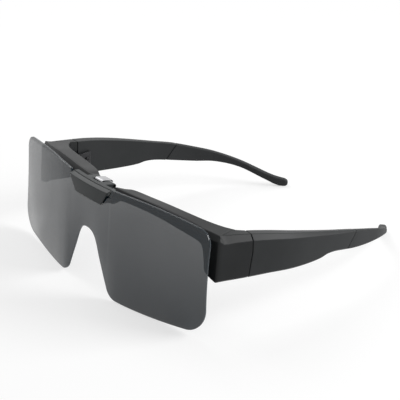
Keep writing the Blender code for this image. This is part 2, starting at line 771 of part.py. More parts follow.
def rim_ring(x, rear_x, bottom):
    """The bar's section at x: from the rim's inner edge, round the front and the top, to its inner face."""
    top = brow_z(x)
    face_top = top - BROW_CHAMFER_HEIGHT
    low = (face_top - bottom) / 8
    middle = (bottom + face_top) / 2
    rear = bar_rear(rear_x)
    flange = rear.z - min(END_FLANGE_THICKNESS, rear.z - bottom)
    under = (flange + bottom) / 2
    return [
        Vector((x, front_y(x, bottom) + RIM_DEPTH * 3 / 4, bottom)),
        Vector((x, front_y(x, bottom) + low, bottom)),
        Vector((x, front_y(x, bottom + low), bottom + low)),
        Vector((x, front_y(x, middle), middle)),
        Vector((x, front_y(x, face_top), face_top)),
        Vector((x, front_y(x, top) + BROW_CHAMFER_DEPTH, top)),
        rear,
        Vector((rear.x, rear.y, flange)),
        Vector((x, front_y(x, flange) + RIM_DEPTH, flange)),
        Vector((x, front_y(x, under) + RIM_DEPTH * 7 / 8, under)),
    ]


def gusset_corners(station, wall):
    """The gusset's rear edge, top and bottom, and the line where its underside meets the wall."""
    edge = bar_rear(corner_x * GUSSET_SHARES[station])
    flange = edge.z - END_FLANGE_THICKNESS
    return [edge, Vector((edge.x, edge.y, flange)), Vector((wall.x, wall.y, flange))]


def corner_ring(station):
    """The section where the frame turns its corner: by 0, 45 and 90 degrees."""
    turn = math.radians(45) * station
    centre_x = corner_x - CORNER_ROUND
    forward = Vector((math.sin(turn), -math.cos(turn), 0))
    top = corner_top
    bottom = corner_bottom
    low = ARM_BOTTOM_CHAMFER
    face_top = top - BROW_CHAMFER_HEIGHT
    middle = bottom + (top - bottom) * HINGE_SEAM_KNEE_SHARE

    def outer(z, inset):
        centre = Vector((centre_x, front_y(centre_x, z) + CORNER_ROUND, z))
        return centre + forward * (CORNER_ROUND - inset)

    top_corner = Vector((corner_x - ARM_CHAMFER_WIDTH, front_y(corner_x, top) + BROW_CHAMFER_DEPTH, top))
    inner_x = arm_section(0)[0].x
    step = CORNER_ROUND / 4 * (1 + turn)

    def inner(z):
        return Vector((inner_x, front_y(inner_x, z) + RIM_DEPTH + step, z))

    return [
        inner(bottom),
        outer(bottom, low),
        outer(bottom + low, 0),
        outer(middle, 0),
        outer(face_top, 0),
        top_corner + forward * CORNER_ROUND / 4,
        *gusset_corners(station, inner(middle)),
        inner(middle),
    ]


def end_ring(station, share):
    """The end piece's section, with the gusset's edges in place of its inner top corner."""
    section = arm_section(share)
    return section[:6] + gusset_corners(station, section[7]) + section[7:]


def seam_ring():
    """The end piece's face at the hinge seam."""
    section = seam_section(hinge_seam, HINGE_SEAM_SLANT, HINGE_SEAM_KNEE_SHARE, 0)
    low = section[6] - Vector((0, 0, END_FLANGE_THICKNESS * 2 / 3))
    below = section[6] - Vector((0, 0, END_FLANGE_THICKNESS * 5 / 6))
    return section[:7] + [low, below, section[7]]


def half_frame_rings():
    """The +X half of the front frame, from the middle of the bridge to the hinge seam."""
    stations = [corner_x * share for share in BROW_STATION_SHARES]
    rings = [rim_ring(x, x, bar_bottom(x)) for x in stations]
    for share, rear_share, drop in RIM_EDGE_SHARES:
        rings.append(rim_ring(corner_x * share, corner_x * rear_share, corner_top - END_HEIGHT * drop))
    corner_stations = len(GUSSET_SHARES) - len(END_STATION_SHARES)
    rings += [corner_ring(station) for station in range(corner_stations)]
    rings += [end_ring(corner_stations + i, share) for i, share in enumerate(END_STATION_SHARES)]
    rings.append(seam_ring())
    return rings


def build_front_frame(look):
    """The bar and both end pieces as one moulding, with a notch at the bridge for the flip hinge."""
    half = half_frame_rings()
    mirrored = [[Vector((-p.x, p.y, p.z)) for p in ring] for ring in reversed(half[1:])]
    frame = mesh_object("front_frame", loft(mirrored + half, strip_caps=True), look, None)
    front = front_y(0, notch_floor) - CUT_OVERRUN
    rear = bar_rear(0).y + CUT_OVERRUN
    above = brow_top + CUT_OVERRUN
    notch = block(Vector((-notch_half, front, notch_floor)), Vector((notch_half, rear, above)))
    combine(frame, helper("bridge_notch_cut", notch), "DIFFERENCE")
    return frame


def hinge_place(side):
    """The point on the temple hinge's axis at the middle of its knuckles."""
    section = arm_section(hinge_seam)
    level = section[0].z + (section[5].z - section[0].z) * HINGE_LEVEL_SHARE
    seam_point = arm_plan(hinge_seam)[0]
    return Vector((side * (seam_point.x - HINGE_AXIS_INSET), seam_point.y, level))


hinge_half_height = HINGE_KNUCKLE_HEIGHT * 3 / 2 + RUNNING_GAP


def wall_x(side, y):
    """The x of the arm's inner face at y, at the hinge's level."""
    share = (y - arm_front) / ARM_LENGTH
    for _ in range(3):
        share += (y - arm_section(share)[7].y) / ARM_LENGTH
    return side * arm_section(share)[7].x


def leaf_outline(side, way, grow):
    """A leaf in plan, round the barrel and along the arm's inner face: way is -1 forward and 1 rearward."""
    axis = hinge_place(side)
    radius = HINGE_RADIUS + grow
    near = HINGE_LEAF_OFFSET + grow
    far = HINGE_LEAF_OFFSET - HINGE_LEAF_THICKNESS - grow
    length = HINGE_LEAF_LENGTH + grow
    end = side * (wall_x(side, axis.y + way * length) - axis.x) - SEAT_GAP + grow
    start = math.acos(near / radius)
    sweep = start - math.acos(far / radius) + 2 * math.pi
    outline = [(end, length)]
    for i in range(ROUND_STEPS + 1):
        angle = start - sweep * i / ROUND_STEPS
        outline.append((radius * math.cos(angle), radius * math.sin(angle)))
    outline.append((end - HINGE_LEAF_THICKNESS - 2 * grow, length))
    return [Vector((axis.x + side * out, axis.y + way * along, axis.z)) for out, along in outline]


def hinge_prism(side, way, grow, low, high):
    outline = leaf_outline(side, way, grow)
    return prism([p + Vector((0, 0, low)) for p in outline], Vector((0, 0, high - low)))


def barrel_cut(name, side, low, high, radius, parent):
    """A round cutter about the hinge's axis, between two heights from its middle."""
    place = Matrix.Translation(hinge_place(side))
    return helper(name, turned(((radius, low), (radius, high)), place), parent)


def leaf_screw_place(side, way):
    """A placing matrix on a leaf's inner face, whose z axis points away from the arm."""
    outline = leaf_outline(side, way, 0)
    root, end = outline[-2], outline[-1]
    share = LEAF_SCREW_SETBACK / HINGE_LEAF_LENGTH
    along = (end - root).normalized()
    inward = Vector((along.y, -along.x, 0)) * -side * way
    return facing(root + (end - root) * share + inward * SEAT_GAP, inward)


def build_temple_hinge(side, word, frame, temple, steel, parent):
    """Both leaves, the pivot screw and the two leaf screws, with the pockets that they need."""
    low, high = -hinge_half_height, hinge_half_height
    middle = HINGE_KNUCKLE_HEIGHT / 2
    clear = HINGE_RADIUS + RUNNING_GAP
    bore = PIVOT_RADIUS + BORE_GAP
    pocket_top = high + SEAT_GAP + PIVOT_HEAD_HEIGHT + RUNNING_GAP
    for way, arm, name, owner in ((-1, frame, "frame_hinge", None), (1, temple, "temple_hinge", parent)):
        leaf = mesh_object(f"{name}_{word}", hinge_prism(side, way, 0, low, high), steel, owner)
        if way < 0:
            gaps = ((-middle - RUNNING_GAP, middle + RUNNING_GAP),)
        else:
            gaps = ((low - CUT_OVERRUN, -middle), (middle, high + CUT_OVERRUN))
        for i, (start, end) in enumerate(gaps):
            gap = barrel_cut(f"{name}_gap_{word}_{i}", side, start, end, clear, owner)
            combine(leaf, gap, "DIFFERENCE")
        through = high + CUT_OVERRUN
        pivot_hole = barrel_cut(f"{name}_bore_{word}", side, -through, through, bore, owner)
        combine(leaf, pivot_hole, "DIFFERENCE")
        pocket = hinge_prism(side, way, SEAT_GAP, low - RUNNING_GAP, pocket_top)
        combine(arm, helper(f"{name}_pocket_{word}", pocket, owner), "DIFFERENCE")
        place = leaf_screw_place(side, way)
        length = HINGE_LEAF_THICKNESS + SEAT_GAP + SCREW_BITE
        plate = "frame_plate" if way < 0 else "temple_plate"
        screw(f"{plate}_screw_{word}", place, length, steel, owner)
        hole = screw_hole(f"{plate}_hole_{word}", place, length, SEAT_GAP, owner)
        combine(leaf, hole, "DIFFERENCE")
        combine(arm, hole, "DIFFERENCE")
    place = Matrix.Translation(hinge_place(side) + Vector((0, 0, high + SEAT_GAP)))
    screw(f"hinge_screw_{word}", place, 2 * high + SEAT_GAP, steel, None, pivot_screw)


def mirrored_for(side, rings):
    return [[Vector((side * p.x, p.y, p.z)) for p in ring] for ring in rings]


def tang_rings(grow):
    """The tang that runs from inside the temple into the tip, or its socket when grown by a gap."""
    start = tip_seam - (TIP_SEAM_SLANT + TANG_HEIGHT) / ARM_LENGTH
    stop = tip_seam + (TANG_LENGTH - TIP_SEAM_SLANT + grow) / ARM_LENGTH
    rings = []
    for i in range(5):
        share = start + (stop - start) * i / 4
        section = arm_section(share)
        thickness = ARM_THICKNESS * follow(ARM_THICKNESS_SHARES, share)
        point, inward = arm_plan(share)
        level = (section[0].z + section[5].z) / 2
        near, far = (thickness - TANG_THICKNESS) / 2 - grow, (thickness + TANG_THICKNESS) / 2 + grow
        low, high = level - TANG_HEIGHT / 2 - grow, level + TANG_HEIGHT / 2 + grow
        corners = ((far, low), (near, low), (near, high), (far, high))
        rings.append([Vector((point.x + inward.x * d, point.y + inward.y * d, z)) for d, z in corners])
    return rings


def build_temple(side, word, look, parent):
    """The arm from the hinge seam to the tip's seam, with its tang."""
    rings = [seam_section(hinge_seam, HINGE_SEAM_SLANT, HINGE_SEAM_KNEE_SHARE, RUNNING_GAP)]
    rings += [arm_section(share) for share in stretch(hinge_seam, tip_seam, TEMPLE_STATION_SHARES)]
    rings.append(seam_section(tip_seam, TIP_SEAM_SLANT, 1, -SEAT_GAP))
    arm = loft(mirrored_for(side, rings), strip_caps=True)
    temple = mesh_object(f"temple_{word}", arm, look, parent)
    tang = helper(f"tang_{word}", loft(mirrored_for(side, tang_rings(0))), parent)
    combine(temple, tang, "UNION")
    return temple


def build_tip(side, word, look, parent):
    """The soft end past the tip's seam, with a socket for the tang and a rounded end."""
    rings = [seam_section(tip_seam, TIP_SEAM_SLANT, 1, 0)]
    rings += [arm_section(share) for share in stretch(tip_seam, 1, TIP_STATION_SHARES)]
    rings.append(arm_section(1 - TIP_END_ROUND / ARM_LENGTH))
    end = arm_section(1)
    middle = sum(end, Vector()) / len(end)
    inset = TIP_END_ROUND / (end[5].z - end[0].z)
    rings.append([p.lerp(middle, inset) for p in end])
    pad = loft(mirrored_for(side, rings), strip_caps=True)
    tip = mesh_object(f"temple_tip_{word}", pad, look, parent)
    socket = helper(f"tip_socket_{word}", loft(mirrored_for(side, tang_rings(SEAT_GAP))), parent)
    combine(tip, socket, "DIFFERENCE")


def axis_empty(name, place):
    """An empty on a joint's axis, which carries the pieces that move."""
    empty = bpy.data.objects.new(name, None)
    empty.location = place
    bpy.context.scene.collection.objects.link(empty)
    return empty


def clear_scene():
    for obj in list(bpy.data.objects):
        bpy.data.objects.remove(obj)


def main():
    clear_scene()
    frame_black = {"color": (0.022, 0.022, 0.024), "roughness": 0.42}
    temple_black = {"color": (0.024, 0.024, 0.026), "roughness": 0.42}
    soft_black = {"color": (0.030, 0.030, 0.032), "roughness": 0.65}
    bracket_black = {"color": (0.026, 0.026, 0.028), "roughness": 0.38}
    smoke = {"color": (0.10, 0.10, 0.105), "roughness": 0.08, "alpha": 0.6}
    steel = {"color": (0.72, 0.72, 0.73), "roughness": 0.22, "metallic": 1.0}
    black_steel = {"color": (0.030, 0.030, 0.032), "roughness": 0.35, "metallic": 0.6}

    frame = build_front_frame(frame_black)
    flip = axis_empty("lens_flip_axis", pin)
    build_lens(smoke, flip)
    build_bracket(bracket_black, steel, flip)
    base = build_flip_hinge(bracket_black, steel)
    build_base_screws(frame, base, steel)
    for side, word in ((1, "left"), (-1, "right")):
        fold = axis_empty(f"temple_{word}_axis", hinge_place(side))
        temple = build_temple(side, word, temple_black, fold)
        build_tip(side, word, soft_black, fold)
        build_temple_hinge(side, word, frame, temple, black_steel, fold)


main()
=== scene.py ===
import math

import bmesh
import bpy
from mathutils import Matrix, Vector


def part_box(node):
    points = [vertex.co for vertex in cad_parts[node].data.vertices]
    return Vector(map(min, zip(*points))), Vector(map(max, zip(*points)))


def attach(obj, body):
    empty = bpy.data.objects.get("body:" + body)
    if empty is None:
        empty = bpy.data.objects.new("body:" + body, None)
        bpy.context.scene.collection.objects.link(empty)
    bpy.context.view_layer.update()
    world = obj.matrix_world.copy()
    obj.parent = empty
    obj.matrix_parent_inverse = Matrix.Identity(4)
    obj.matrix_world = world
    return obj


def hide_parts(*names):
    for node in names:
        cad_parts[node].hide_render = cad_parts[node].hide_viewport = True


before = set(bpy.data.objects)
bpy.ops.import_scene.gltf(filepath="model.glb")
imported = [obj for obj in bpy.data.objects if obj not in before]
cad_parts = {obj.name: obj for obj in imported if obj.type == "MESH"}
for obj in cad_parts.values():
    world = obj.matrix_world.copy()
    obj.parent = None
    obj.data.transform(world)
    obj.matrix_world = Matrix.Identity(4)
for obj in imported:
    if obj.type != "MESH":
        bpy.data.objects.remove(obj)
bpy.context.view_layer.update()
print("frame loaded:", len(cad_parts), "nodes")

sides = ((1, "Left", "left"), (-1, "Right", "right"))  # the wearer's left is +X
squareOn = 0.9  # a face counts as square to an axis when its normal has this much of it


# small helpers for modelling

def deselectAll():
    bpy.ops.object.select_all(action="DESELECT")


def pick(piece):
    deselectAll()
    piece.select_set(True)
    bpy.context.view_layer.objects.active = piece


def follow(rows, share):  # a smooth curve through rows of (share, value)
    last = len(rows) - 1
    index = max(i for i in range(last) if i == 0 or rows[i][0] <= share)
    (x0, y0), (x1, y1) = rows[index], rows[index + 1]

    def slope(i):
        low, high = rows[max(i - 1, 0)], rows[min(i + 1, last)]
        return (high[1] - low[1]) / (high[0] - low[0])

    span = x1 - x0
    t = (share - x0) / span
    rise = y1 - y0
    start, end = slope(index) * span, slope(index + 1) * span
    return y0 + t * (start + t * (3 * rise - 2 * start - end + t * (start + end - 2 * rise)))


def betweenRings(rings, steps):  # more rings on smooth curves through the given ones
    reach = [0.0]
    for one, two in zip(rings, rings[1:]):
        reach.append(reach[-1] + sum((a - b).length for a, b in zip(one, two)) / len(one))
    last = len(rings) - 1
    slopes = []
    for i in range(last + 1):
        low, high = max(i - 1, 0), min(i + 1, last)
        slopes.append([(b - a) / (reach[high] - reach[low]) for a, b in zip(rings[low], rings[high])])
    found = [rings[0]]
    for i in range(last):
        span = reach[i + 1] - reach[i]
        for k in range(1, steps + 1):
            t = k / steps
            ring = []
            for a, b, sa, sb in zip(rings[i], rings[i + 1], slopes[i], slopes[i + 1]):
                rise, sa, sb = b - a, sa * span, sb * span
                ring.append(a + (sa + (rise * 3 - sa * 2 - sb + (sa + sb - rise * 2) * t) * t) * t)
            found.append(ring)
    return found


def skin(name, rings, strips=()):  # a filled ring, extruded from station to station
    deselectAll()
    bpy.ops.mesh.primitive_circle_add(vertices=len(rings[0]), radius=0.01, fill_type="NGON")
    piece = bpy.context.object
    piece.name = piece.data.name = name
    bpy.ops.object.mode_set(mode="EDIT")
    bpy.ops.mesh.select_all(action="SELECT")
    shape = bmesh.from_edit_mesh(piece.data)
    shape.verts.ensure_lookup_table()
    for vert, place in zip(shape.verts, rings[0]):
        vert.co = place
    for before, ring in zip(rings, rings[1:]):
        bpy.ops.mesh.extrude_region_move()
        shape = bmesh.from_edit_mesh(piece.data)
        for vert in [v for v in shape.verts if v.select]:
            nearest = min(range(len(ring)), key=lambda k: (before[k] - vert.co).length_squared)
            vert.co = ring[nearest]
    if strips:  # ends that aren't flat are split across
        for ring in (rings[0], rings[-1]):
            for pair in strips:
                bpy.ops.mesh.select_all(action="DESELECT")
                shape = bmesh.from_edit_mesh(piece.data)
                for corner in pair:
                    min(shape.verts, key=lambda v: (v.co - ring[corner]).length_squared).select_set(True)
                shape.select_flush_mode()
                bpy.ops.mesh.vert_connect()
    bpy.ops.mesh.select_all(action="SELECT")
    bpy.ops.mesh.normals_make_consistent(inside=False)
    bpy.ops.object.mode_set(mode="OBJECT")
    return piece


def prism(name, outline, shift):
    return skin(name, [outline, [p + shift for p in outline]])


def modify(piece, kind, **values):  # adds a modifier and applies it
    pick(piece)
    modifier = piece.modifiers.new(kind.title(), kind)
    for key, value in values.items():
        setattr(modifier, key, value)
    bpy.ops.object.modifier_apply(modifier=modifier.name)


def soften(piece, width, segments=3, angle=25):
    modify(piece, "BEVEL", width=width, segments=segments, limit_method="ANGLE",
           angle_limit=math.radians(angle), use_clamp_overlap=False)


def smooth(piece, angle=32):
    pick(piece)
    bpy.ops.object.shade_smooth_by_angle(angle=math.radians(angle))


def settle(piece, angle=60):  # smooth all over, with each flat face kept flat
    smooth(piece, angle)
    modify(piece, "WEIGHTED_NORMAL", keep_sharp=True, weight=50)


def cut(piece, cutter, operation="DIFFERENCE"):
    modify(piece, "BOOLEAN", object=cutter, operation=operation, solver="EXACT")
    bpy.data.objects.remove(cutter)


def facing(point, direction):  # a place whose z axis points in a direction
    return Matrix.Translation(point) @ direction.to_track_quat("Z", "Y").to_matrix().to_4x4()


def rod(name, radius, low, high, vertices=40):
    deselectAll()
    bpy.ops.mesh.primitive_cylinder_add(vertices=vertices, radius=radius, depth=high - low,
                                        location=(0, 0, (low + high) / 2))
    bpy.ops.object.transform_apply(location=True, rotation=False, scale=False)
    piece = bpy.context.object
    piece.name = piece.data.name = name
    return piece


def drill(piece, spot, radius, low, high):  # a round hole along the spot's z axis
    cutter = rod("drill", radius, low, high)
    cutter.data.transform(spot)
    cut(piece, cutter)


def cleanCopy(node, name):  # a merged copy of a solid, ready to be worked on
    deselectAll()
    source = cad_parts[node]
    piece = bpy.data.objects.new(name, source.data.copy())
    bpy.context.scene.collection.objects.link(piece)
    pick(piece)
    bpy.ops.object.mode_set(mode="EDIT")
    bpy.ops.mesh.select_all(action="SELECT")
    bpy.ops.mesh.remove_doubles(threshold=0.00001)
    bpy.ops.mesh.dissolve_limited(angle_limit=math.radians(1))
    bpy.ops.object.mode_set(mode="OBJECT")
    return piece


def dress(piece, *materials):
    piece.data.materials.clear()
    for material in materials:
        piece.data.materials.append(material)


def place(piece, body, slot, *nodes):  # hands a finished piece to its body
    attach(piece, body)
    if nodes:
        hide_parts(*nodes)


# finishes

def newMaterial(name):
    material = bpy.data.materials.new(name)
    material.use_nodes = True
    nodes = material.node_tree.nodes
    return material, nodes, material.node_tree.links, nodes["Principled BSDF"]


def addNode(nodes, kind, **values):
    node = nodes.new(kind)
    for key, value in values.items():
        if key in node.inputs:
            node.inputs[key].default_value = value
        else:
            setattr(node, key, value)
    return node


def vary(nodes, links, pattern, values, socket, span=(0, 1)):  # drives a socket by a pattern over a span
    node = addNode(nodes, "ShaderNodeMapRange")
    node.inputs["From Min"].default_value, node.inputs["From Max"].default_value = span
    node.inputs["To Min"].default_value, node.inputs["To Max"].default_value = values
    links.new(pattern, node.inputs["Value"])
    links.new(node.outputs["Result"], socket)


moulding = {"ior": 1.5, "grainDepth": 0.00004, "toneRange": (0.35, 0.68)}  # what all the mouldings share


def mouldedBlack(name, look):  # satin moulded plastic: fine spark-eroded grain, faint handling marks
    material, nodes, links, surface = newMaterial(name)
    spot = addNode(nodes, "ShaderNodeTexCoord")
    grain = addNode(nodes, "ShaderNodeTexNoise", Scale=look["grainScale"], Detail=3.0, Roughness=0.6)
    marks = addNode(nodes, "ShaderNodeTexNoise", Scale=look["markScale"], Detail=4.0, Roughness=0.55)
    links.new(spot.outputs["Object"], grain.inputs["Vector"])
    links.new(spot.outputs["Object"], marks.inputs["Vector"])
    tone = addNode(nodes, "ShaderNodeValToRGB")
    for stop, position, shade in zip(tone.color_ramp.elements, moulding["toneRange"], ("dark", "light")):
        stop.position = position
        stop.color = (*look[shade], 1)
    links.new(marks.outputs["Fac"], tone.inputs["Fac"])
    links.new(tone.outputs["Color"], surface.inputs["Base Color"])
    vary(nodes, links, marks.outputs["Fac"], look["roughness"], surface.inputs["Roughness"])
    bump = addNode(nodes, "ShaderNodeBump", Strength=look["grainStrength"], Distance=moulding["grainDepth"])
    links.new(grain.outputs["Fac"], bump.inputs["Height"])
    links.new(bump.outputs["Normal"], surface.inputs["Normal"])
    surface.inputs["IOR"].default_value = moulding["ior"]
    surface.inputs["Specular IOR Level"].default_value = look["shine"]
    return material


frameBlack = mouldedBlack("frameBlack", {
    "dark": (0.0085, 0.0094, 0.0100), "light": (0.0125, 0.0136, 0.0144), "roughness": (0.40, 0.50),
    "shine": 0.2, "grainScale": 5200, "grainStrength": 0.22, "markScale": 55})
templeBlack = mouldedBlack("templeBlack", {
    "dark": (0.0172, 0.0187, 0.0195), "light": (0.0230, 0.0247, 0.0258), "roughness": (0.40, 0.50),
    "shine": 0.2, "grainScale": 5200, "grainStrength": 0.22, "markScale": 42})
softBlack = mouldedBlack("softTipBlack", {
    "dark": (0.0205, 0.0218, 0.0228), "light": (0.0268, 0.0284, 0.0295), "roughness": (0.52, 0.64),
    "shine": 0.2, "grainScale": 3600, "grainStrength": 0.35, "markScale": 70})
bracketBlack = mouldedBlack("bracketBlack", {
    "dark": (0.0300, 0.0334, 0.0343), "light": (0.0380, 0.0423, 0.0432), "roughness": (0.38, 0.48),
    "shine": 0.22, "grainScale": 6500, "grainStrength": 0.18, "markScale": 120})

# alpha goes from the first height to the second; the lens is more opaque, so darker, low down, which is
# painted shade for the shadow seen through it
lensLook = {"tint": (0.004, 0.014, 0.023), "alpha": (0.834, 0.712), "paintedShadeHeights": (0.004, 0.046),
            "roughness": (0.0245, 0.0525), "ior": 1.59, "shine": 0.44, "smearScale": 28,
            "edge": (0.045, 0.050, 0.054), "edgeRoughness": (0.16, 0.30), "edgeShine": 0.15, "edgeScale": 900}


def smokeLens():
    material, nodes, links, surface = newMaterial("smokeLens")
    surface.inputs["Base Color"].default_value = (*lensLook["tint"], 1)
    surface.inputs["IOR"].default_value = lensLook["ior"]
    surface.inputs["Specular IOR Level"].default_value = lensLook["shine"]
    spot = addNode(nodes, "ShaderNodeTexCoord")
    smear = addNode(nodes, "ShaderNodeTexNoise", Scale=lensLook["smearScale"], Detail=5.0, Distortion=0.8)
    links.new(spot.outputs["Object"], smear.inputs["Vector"])
    vary(nodes, links, smear.outputs["Fac"], lensLook["roughness"], surface.inputs["Roughness"])
    height = addNode(nodes, "ShaderNodeSeparateXYZ")
    links.new(spot.outputs["Object"], height.inputs["Vector"])
    vary(nodes, links, height.outputs["Z"], lensLook["alpha"], surface.inputs["Alpha"],
         lensLook["paintedShadeHeights"])  # painted shade: the lens is made more opaque, so darker, low down, standing in for the shadow seen through it
    return material


def lensEdge():
    material, nodes, links, surface = newMaterial("lensEdge")
    spot = addNode(nodes, "ShaderNodeTexCoord")
    polish = addNode(nodes, "ShaderNodeTexNoise", Scale=lensLook["edgeScale"], Detail=2.0)
    links.new(spot.outputs["Object"], polish.inputs["Vector"])
    vary(nodes, links, polish.outputs["Fac"], lensLook["edgeRoughness"], surface.inputs["Roughness"])
    surface.inputs["Base Color"].default_value = (*lensLook["edge"], 1)
    surface.inputs["IOR"].default_value = lensLook["ior"]
    surface.inputs["Specular IOR Level"].default_value = lensLook["edgeShine"]
    return material


brushing = {"lineScale": 2600, "strength": 0.12, "depth": 0.00002}  # what all the steels share
leafLook = {"colour": (0.46, 0.46, 0.47), "roughness": (0.42, 0.54), "metallic": 1.0}
brightLook = {"colour": (0.56, 0.56, 0.57), "roughness": (0.24, 0.38), "metallic": 1.0}
blackLook = {"colour": (0.020, 0.020, 0.022), "roughness": (0.30, 0.44), "metallic": 0.6}


def brushedSteel(name, stretch, look):  # fine brushing lines along one axis
    material, nodes, links, surface = newMaterial(name)
    spot = addNode(nodes, "ShaderNodeTexCoord")
    turn = addNode(nodes, "ShaderNodeMapping", Scale=stretch)
    lines = addNode(nodes, "ShaderNodeTexNoise", Scale=brushing["lineScale"], Detail=2.0)
    bump = addNode(nodes, "ShaderNodeBump", Strength=brushing["strength"], Distance=brushing["depth"])
    links.new(spot.outputs["Object"], turn.inputs["Vector"])
    links.new(turn.outputs["Vector"], lines.inputs["Vector"])
    vary(nodes, links, lines.outputs["Fac"], look["roughness"], surface.inputs["Roughness"])
    links.new(lines.outputs["Fac"], bump.inputs["Height"])
    links.new(bump.outputs["Normal"], surface.inputs["Normal"])
    surface.inputs["Base Color"].default_value = (*look["colour"], 1)
    surface.inputs["Metallic"].default_value = look["metallic"]
    return material


smoke = smokeLens()
polishedEdge = lensEdge()
leafSteel = brushedSteel("leafSteel", (0.06, 1, 1), leafLook)
screwSteel = brushedSteel("screwSteel", (1, 1, 1), brightLook)
hingeBlack = brushedSteel("hingeBlack", (1, 1, 0.08), blackLook)
screwBlack = brushedSteel("screwBlack", (1, 1, 1), blackLook)
print("finishes made")


# lens: a flat outline, bent round an arc, with straight wings, leaning to the rear

lens = {"halfWidth": 0.07255, "thickness": 0.0011, "bendRadius": 0.138, "wingAngle": math.radians(12.3),
        "lean": math.radians(3.6), "height": 0.05037, "topBow": 0.00157, "outerTopDrop": 0.00092,
        "outerTopRound": 0.0063, "sideBow": 0.0005, "outerBottomRise": 0.00216, "outerBottomRound": 0.0114,
        "bottomBow": 0.00074, "lobeSide": 0.01754, "lobeRound": 0.0072, "shoulderSide": 0.01007,
        "shoulderHeight": 0.01654, "archHeight": 0.02872, "archPull": 0.0066,
        "notchHalf": 0.0158, "notchDrop": 0.0030, "edgeRound": 0.00016, "steps": 14, "bends": 44}


def bend(along):  # where a length along the lens lands in plan: x, sag and angle
    side = -1 if along < 0 else 1
    arc = lens["bendRadius"] * lens["wingAngle"]
    bent = min(abs(along), arc)
    angle = bent / lens["bendRadius"]
    straight = abs(along) - bent
    x = lens["bendRadius"] * math.sin(angle) + straight * math.cos(angle)
    sag = lens["bendRadius"] * (1 - math.cos(angle)) + straight * math.sin(angle)
    return side * x, sag, side * angle


def alongAt(x):
    arcX = lens["bendRadius"] * math.sin(lens["wingAngle"])
    if abs(x) <= arcX:
        return lens["bendRadius"] * math.asin(x / lens["bendRadius"])
    straight = (abs(x) - arcX) / math.cos(lens["wingAngle"])
    return math.copysign(lens["bendRadius"] * lens["wingAngle"] + straight, x)


def bentPoint(along, height, depth):
    x, sag, angle = bend(along)
    y = sag + depth * math.cos(angle)
    lean, rise = math.sin(lens["lean"]), math.cos(lens["lean"])
    return Vector((x - depth * math.sin(angle), y * rise + height * lean, height * rise - y * lean))


def cornerArc(before, corner, after, radius):
    toBefore = (before - corner).normalized()
    toAfter = (after - corner).normalized()
    half = math.acos(toBefore.dot(toAfter)) / 2
    centre = corner + (toBefore + toAfter).normalized() * radius / math.sin(half)
    start = corner + toBefore * radius / math.tan(half) - centre
    end = corner + toAfter * radius / math.tan(half) - centre
    turn = math.atan2(start.x * end.y - start.y * end.x, start.dot(end))
    return [centre + Matrix.Rotation(turn * i / lens["steps"], 2) @ start for i in range(lens["steps"] + 1)]


def bowed(start, end, bow):
    middle = (start + end) / 2 + Vector((start.y - end.y, end.x - start.x)).normalized() * bow * 2
    shares = [i / lens["steps"] for i in range(1, lens["steps"])]
    return [start * (1 - t) ** 2 + middle * 2 * t * (1 - t) + end * t**2 for t in shares]


def halfOutline():  # from the middle of the top round to the top of the nose arch
    top = Vector((0, lens["height"]))
    upper = Vector((lens["halfWidth"], lens["height"] - lens["outerTopDrop"]))
    lower = Vector((lens["halfWidth"], lens["outerBottomRise"]))
    lobe = Vector((lens["lobeSide"], 0))
    shoulder = Vector((lens["shoulderSide"], lens["shoulderHeight"]))
    arch = Vector((0, lens["archHeight"]))
    upperArc = cornerArc(top, upper, lower, lens["outerTopRound"])
    lowerArc = cornerArc(upper, lower, lobe, lens["outerBottomRound"])
    lobeArc = cornerArc(lower, lobe, shoulder, lens["lobeRound"])
    rise = (shoulder - lobe).normalized() * lens["archPull"]
    pull = Vector((lens["archPull"], 0))
    archCurve = []
    for i in range(lens["steps"] + 1):
        t = i / lens["steps"]
        archCurve.append(shoulder * (1 - t) ** 3 + (shoulder + rise) * 3 * t * (1 - t) ** 2
                         + (arch + pull) * 3 * t**2 * (1 - t) + arch * t**3)
    return ([top] + bowed(top, upperArc[0], lens["topBow"]) + upperArc
            + bowed(upperArc[-1], lowerArc[0], -lens["sideBow"]) + lowerArc
            + bowed(lowerArc[-1], lobeArc[0], lens["bottomBow"]) + lobeArc + archCurve)


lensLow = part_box("shield_lens")[0]
edge = [bentPoint(p.x, p.y, depth) for p in halfOutline() for depth in (0, lens["thickness"])]
lensOrigin = Vector((0, lensLow.y - min(p.y for p in edge), lensLow.z - min(p.z for p in edge)))


def onLens(along, height, depth):
    return lensOrigin + bentPoint(along, height, depth)


def makeLens():
    half = halfOutline()
    floor = lens["height"] - lens["notchDrop"]
    outside = [p for p in half if p.x > lens["notchHalf"] or p.y < floor]
    top = outside[0].y
    notch = [Vector((0, floor)), Vector((lens["notchHalf"], floor)), Vector((lens["notchHalf"], top))]
    half = notch + outside
    outline = half + [Vector((-p.x, p.y)) for p in reversed(half[1:-1])]
    piece = skin("shieldLens", [[Vector((p.x, depth, p.y)) for p in outline]
                                for depth in (0, lens["thickness"])])
    pick(piece)
    bpy.ops.object.mode_set(mode="EDIT")
    arc = lens["bendRadius"] * lens["wingAngle"]
    for i in range(lens["bends"] + 1):
        bpy.ops.mesh.select_all(action="SELECT")
        bpy.ops.mesh.bisect(plane_co=(arc * (2 * i / lens["bends"] - 1), 0, 0), plane_no=(1, 0, 0))
    bpy.ops.object.mode_set(mode="OBJECT")
    soften(piece, lens["edgeRound"], segments=2, angle=50)
    for polygon in piece.data.polygons:  # the faces of the thickness take the polished edge
        polygon.material_index = 0 if abs(polygon.normal.y) > squareOn else 1
    for vert in piece.data.vertices:
        vert.co = onLens(vert.co.x, vert.co.z, vert.co.y)
    dress(piece, smoke, polishedEdge)
    smooth(piece)
    place(piece, "lens", "smoke_lens", "shield_lens")


makeLens()
print("lens made")


# screws: modelled once for each kind, then copied to their places

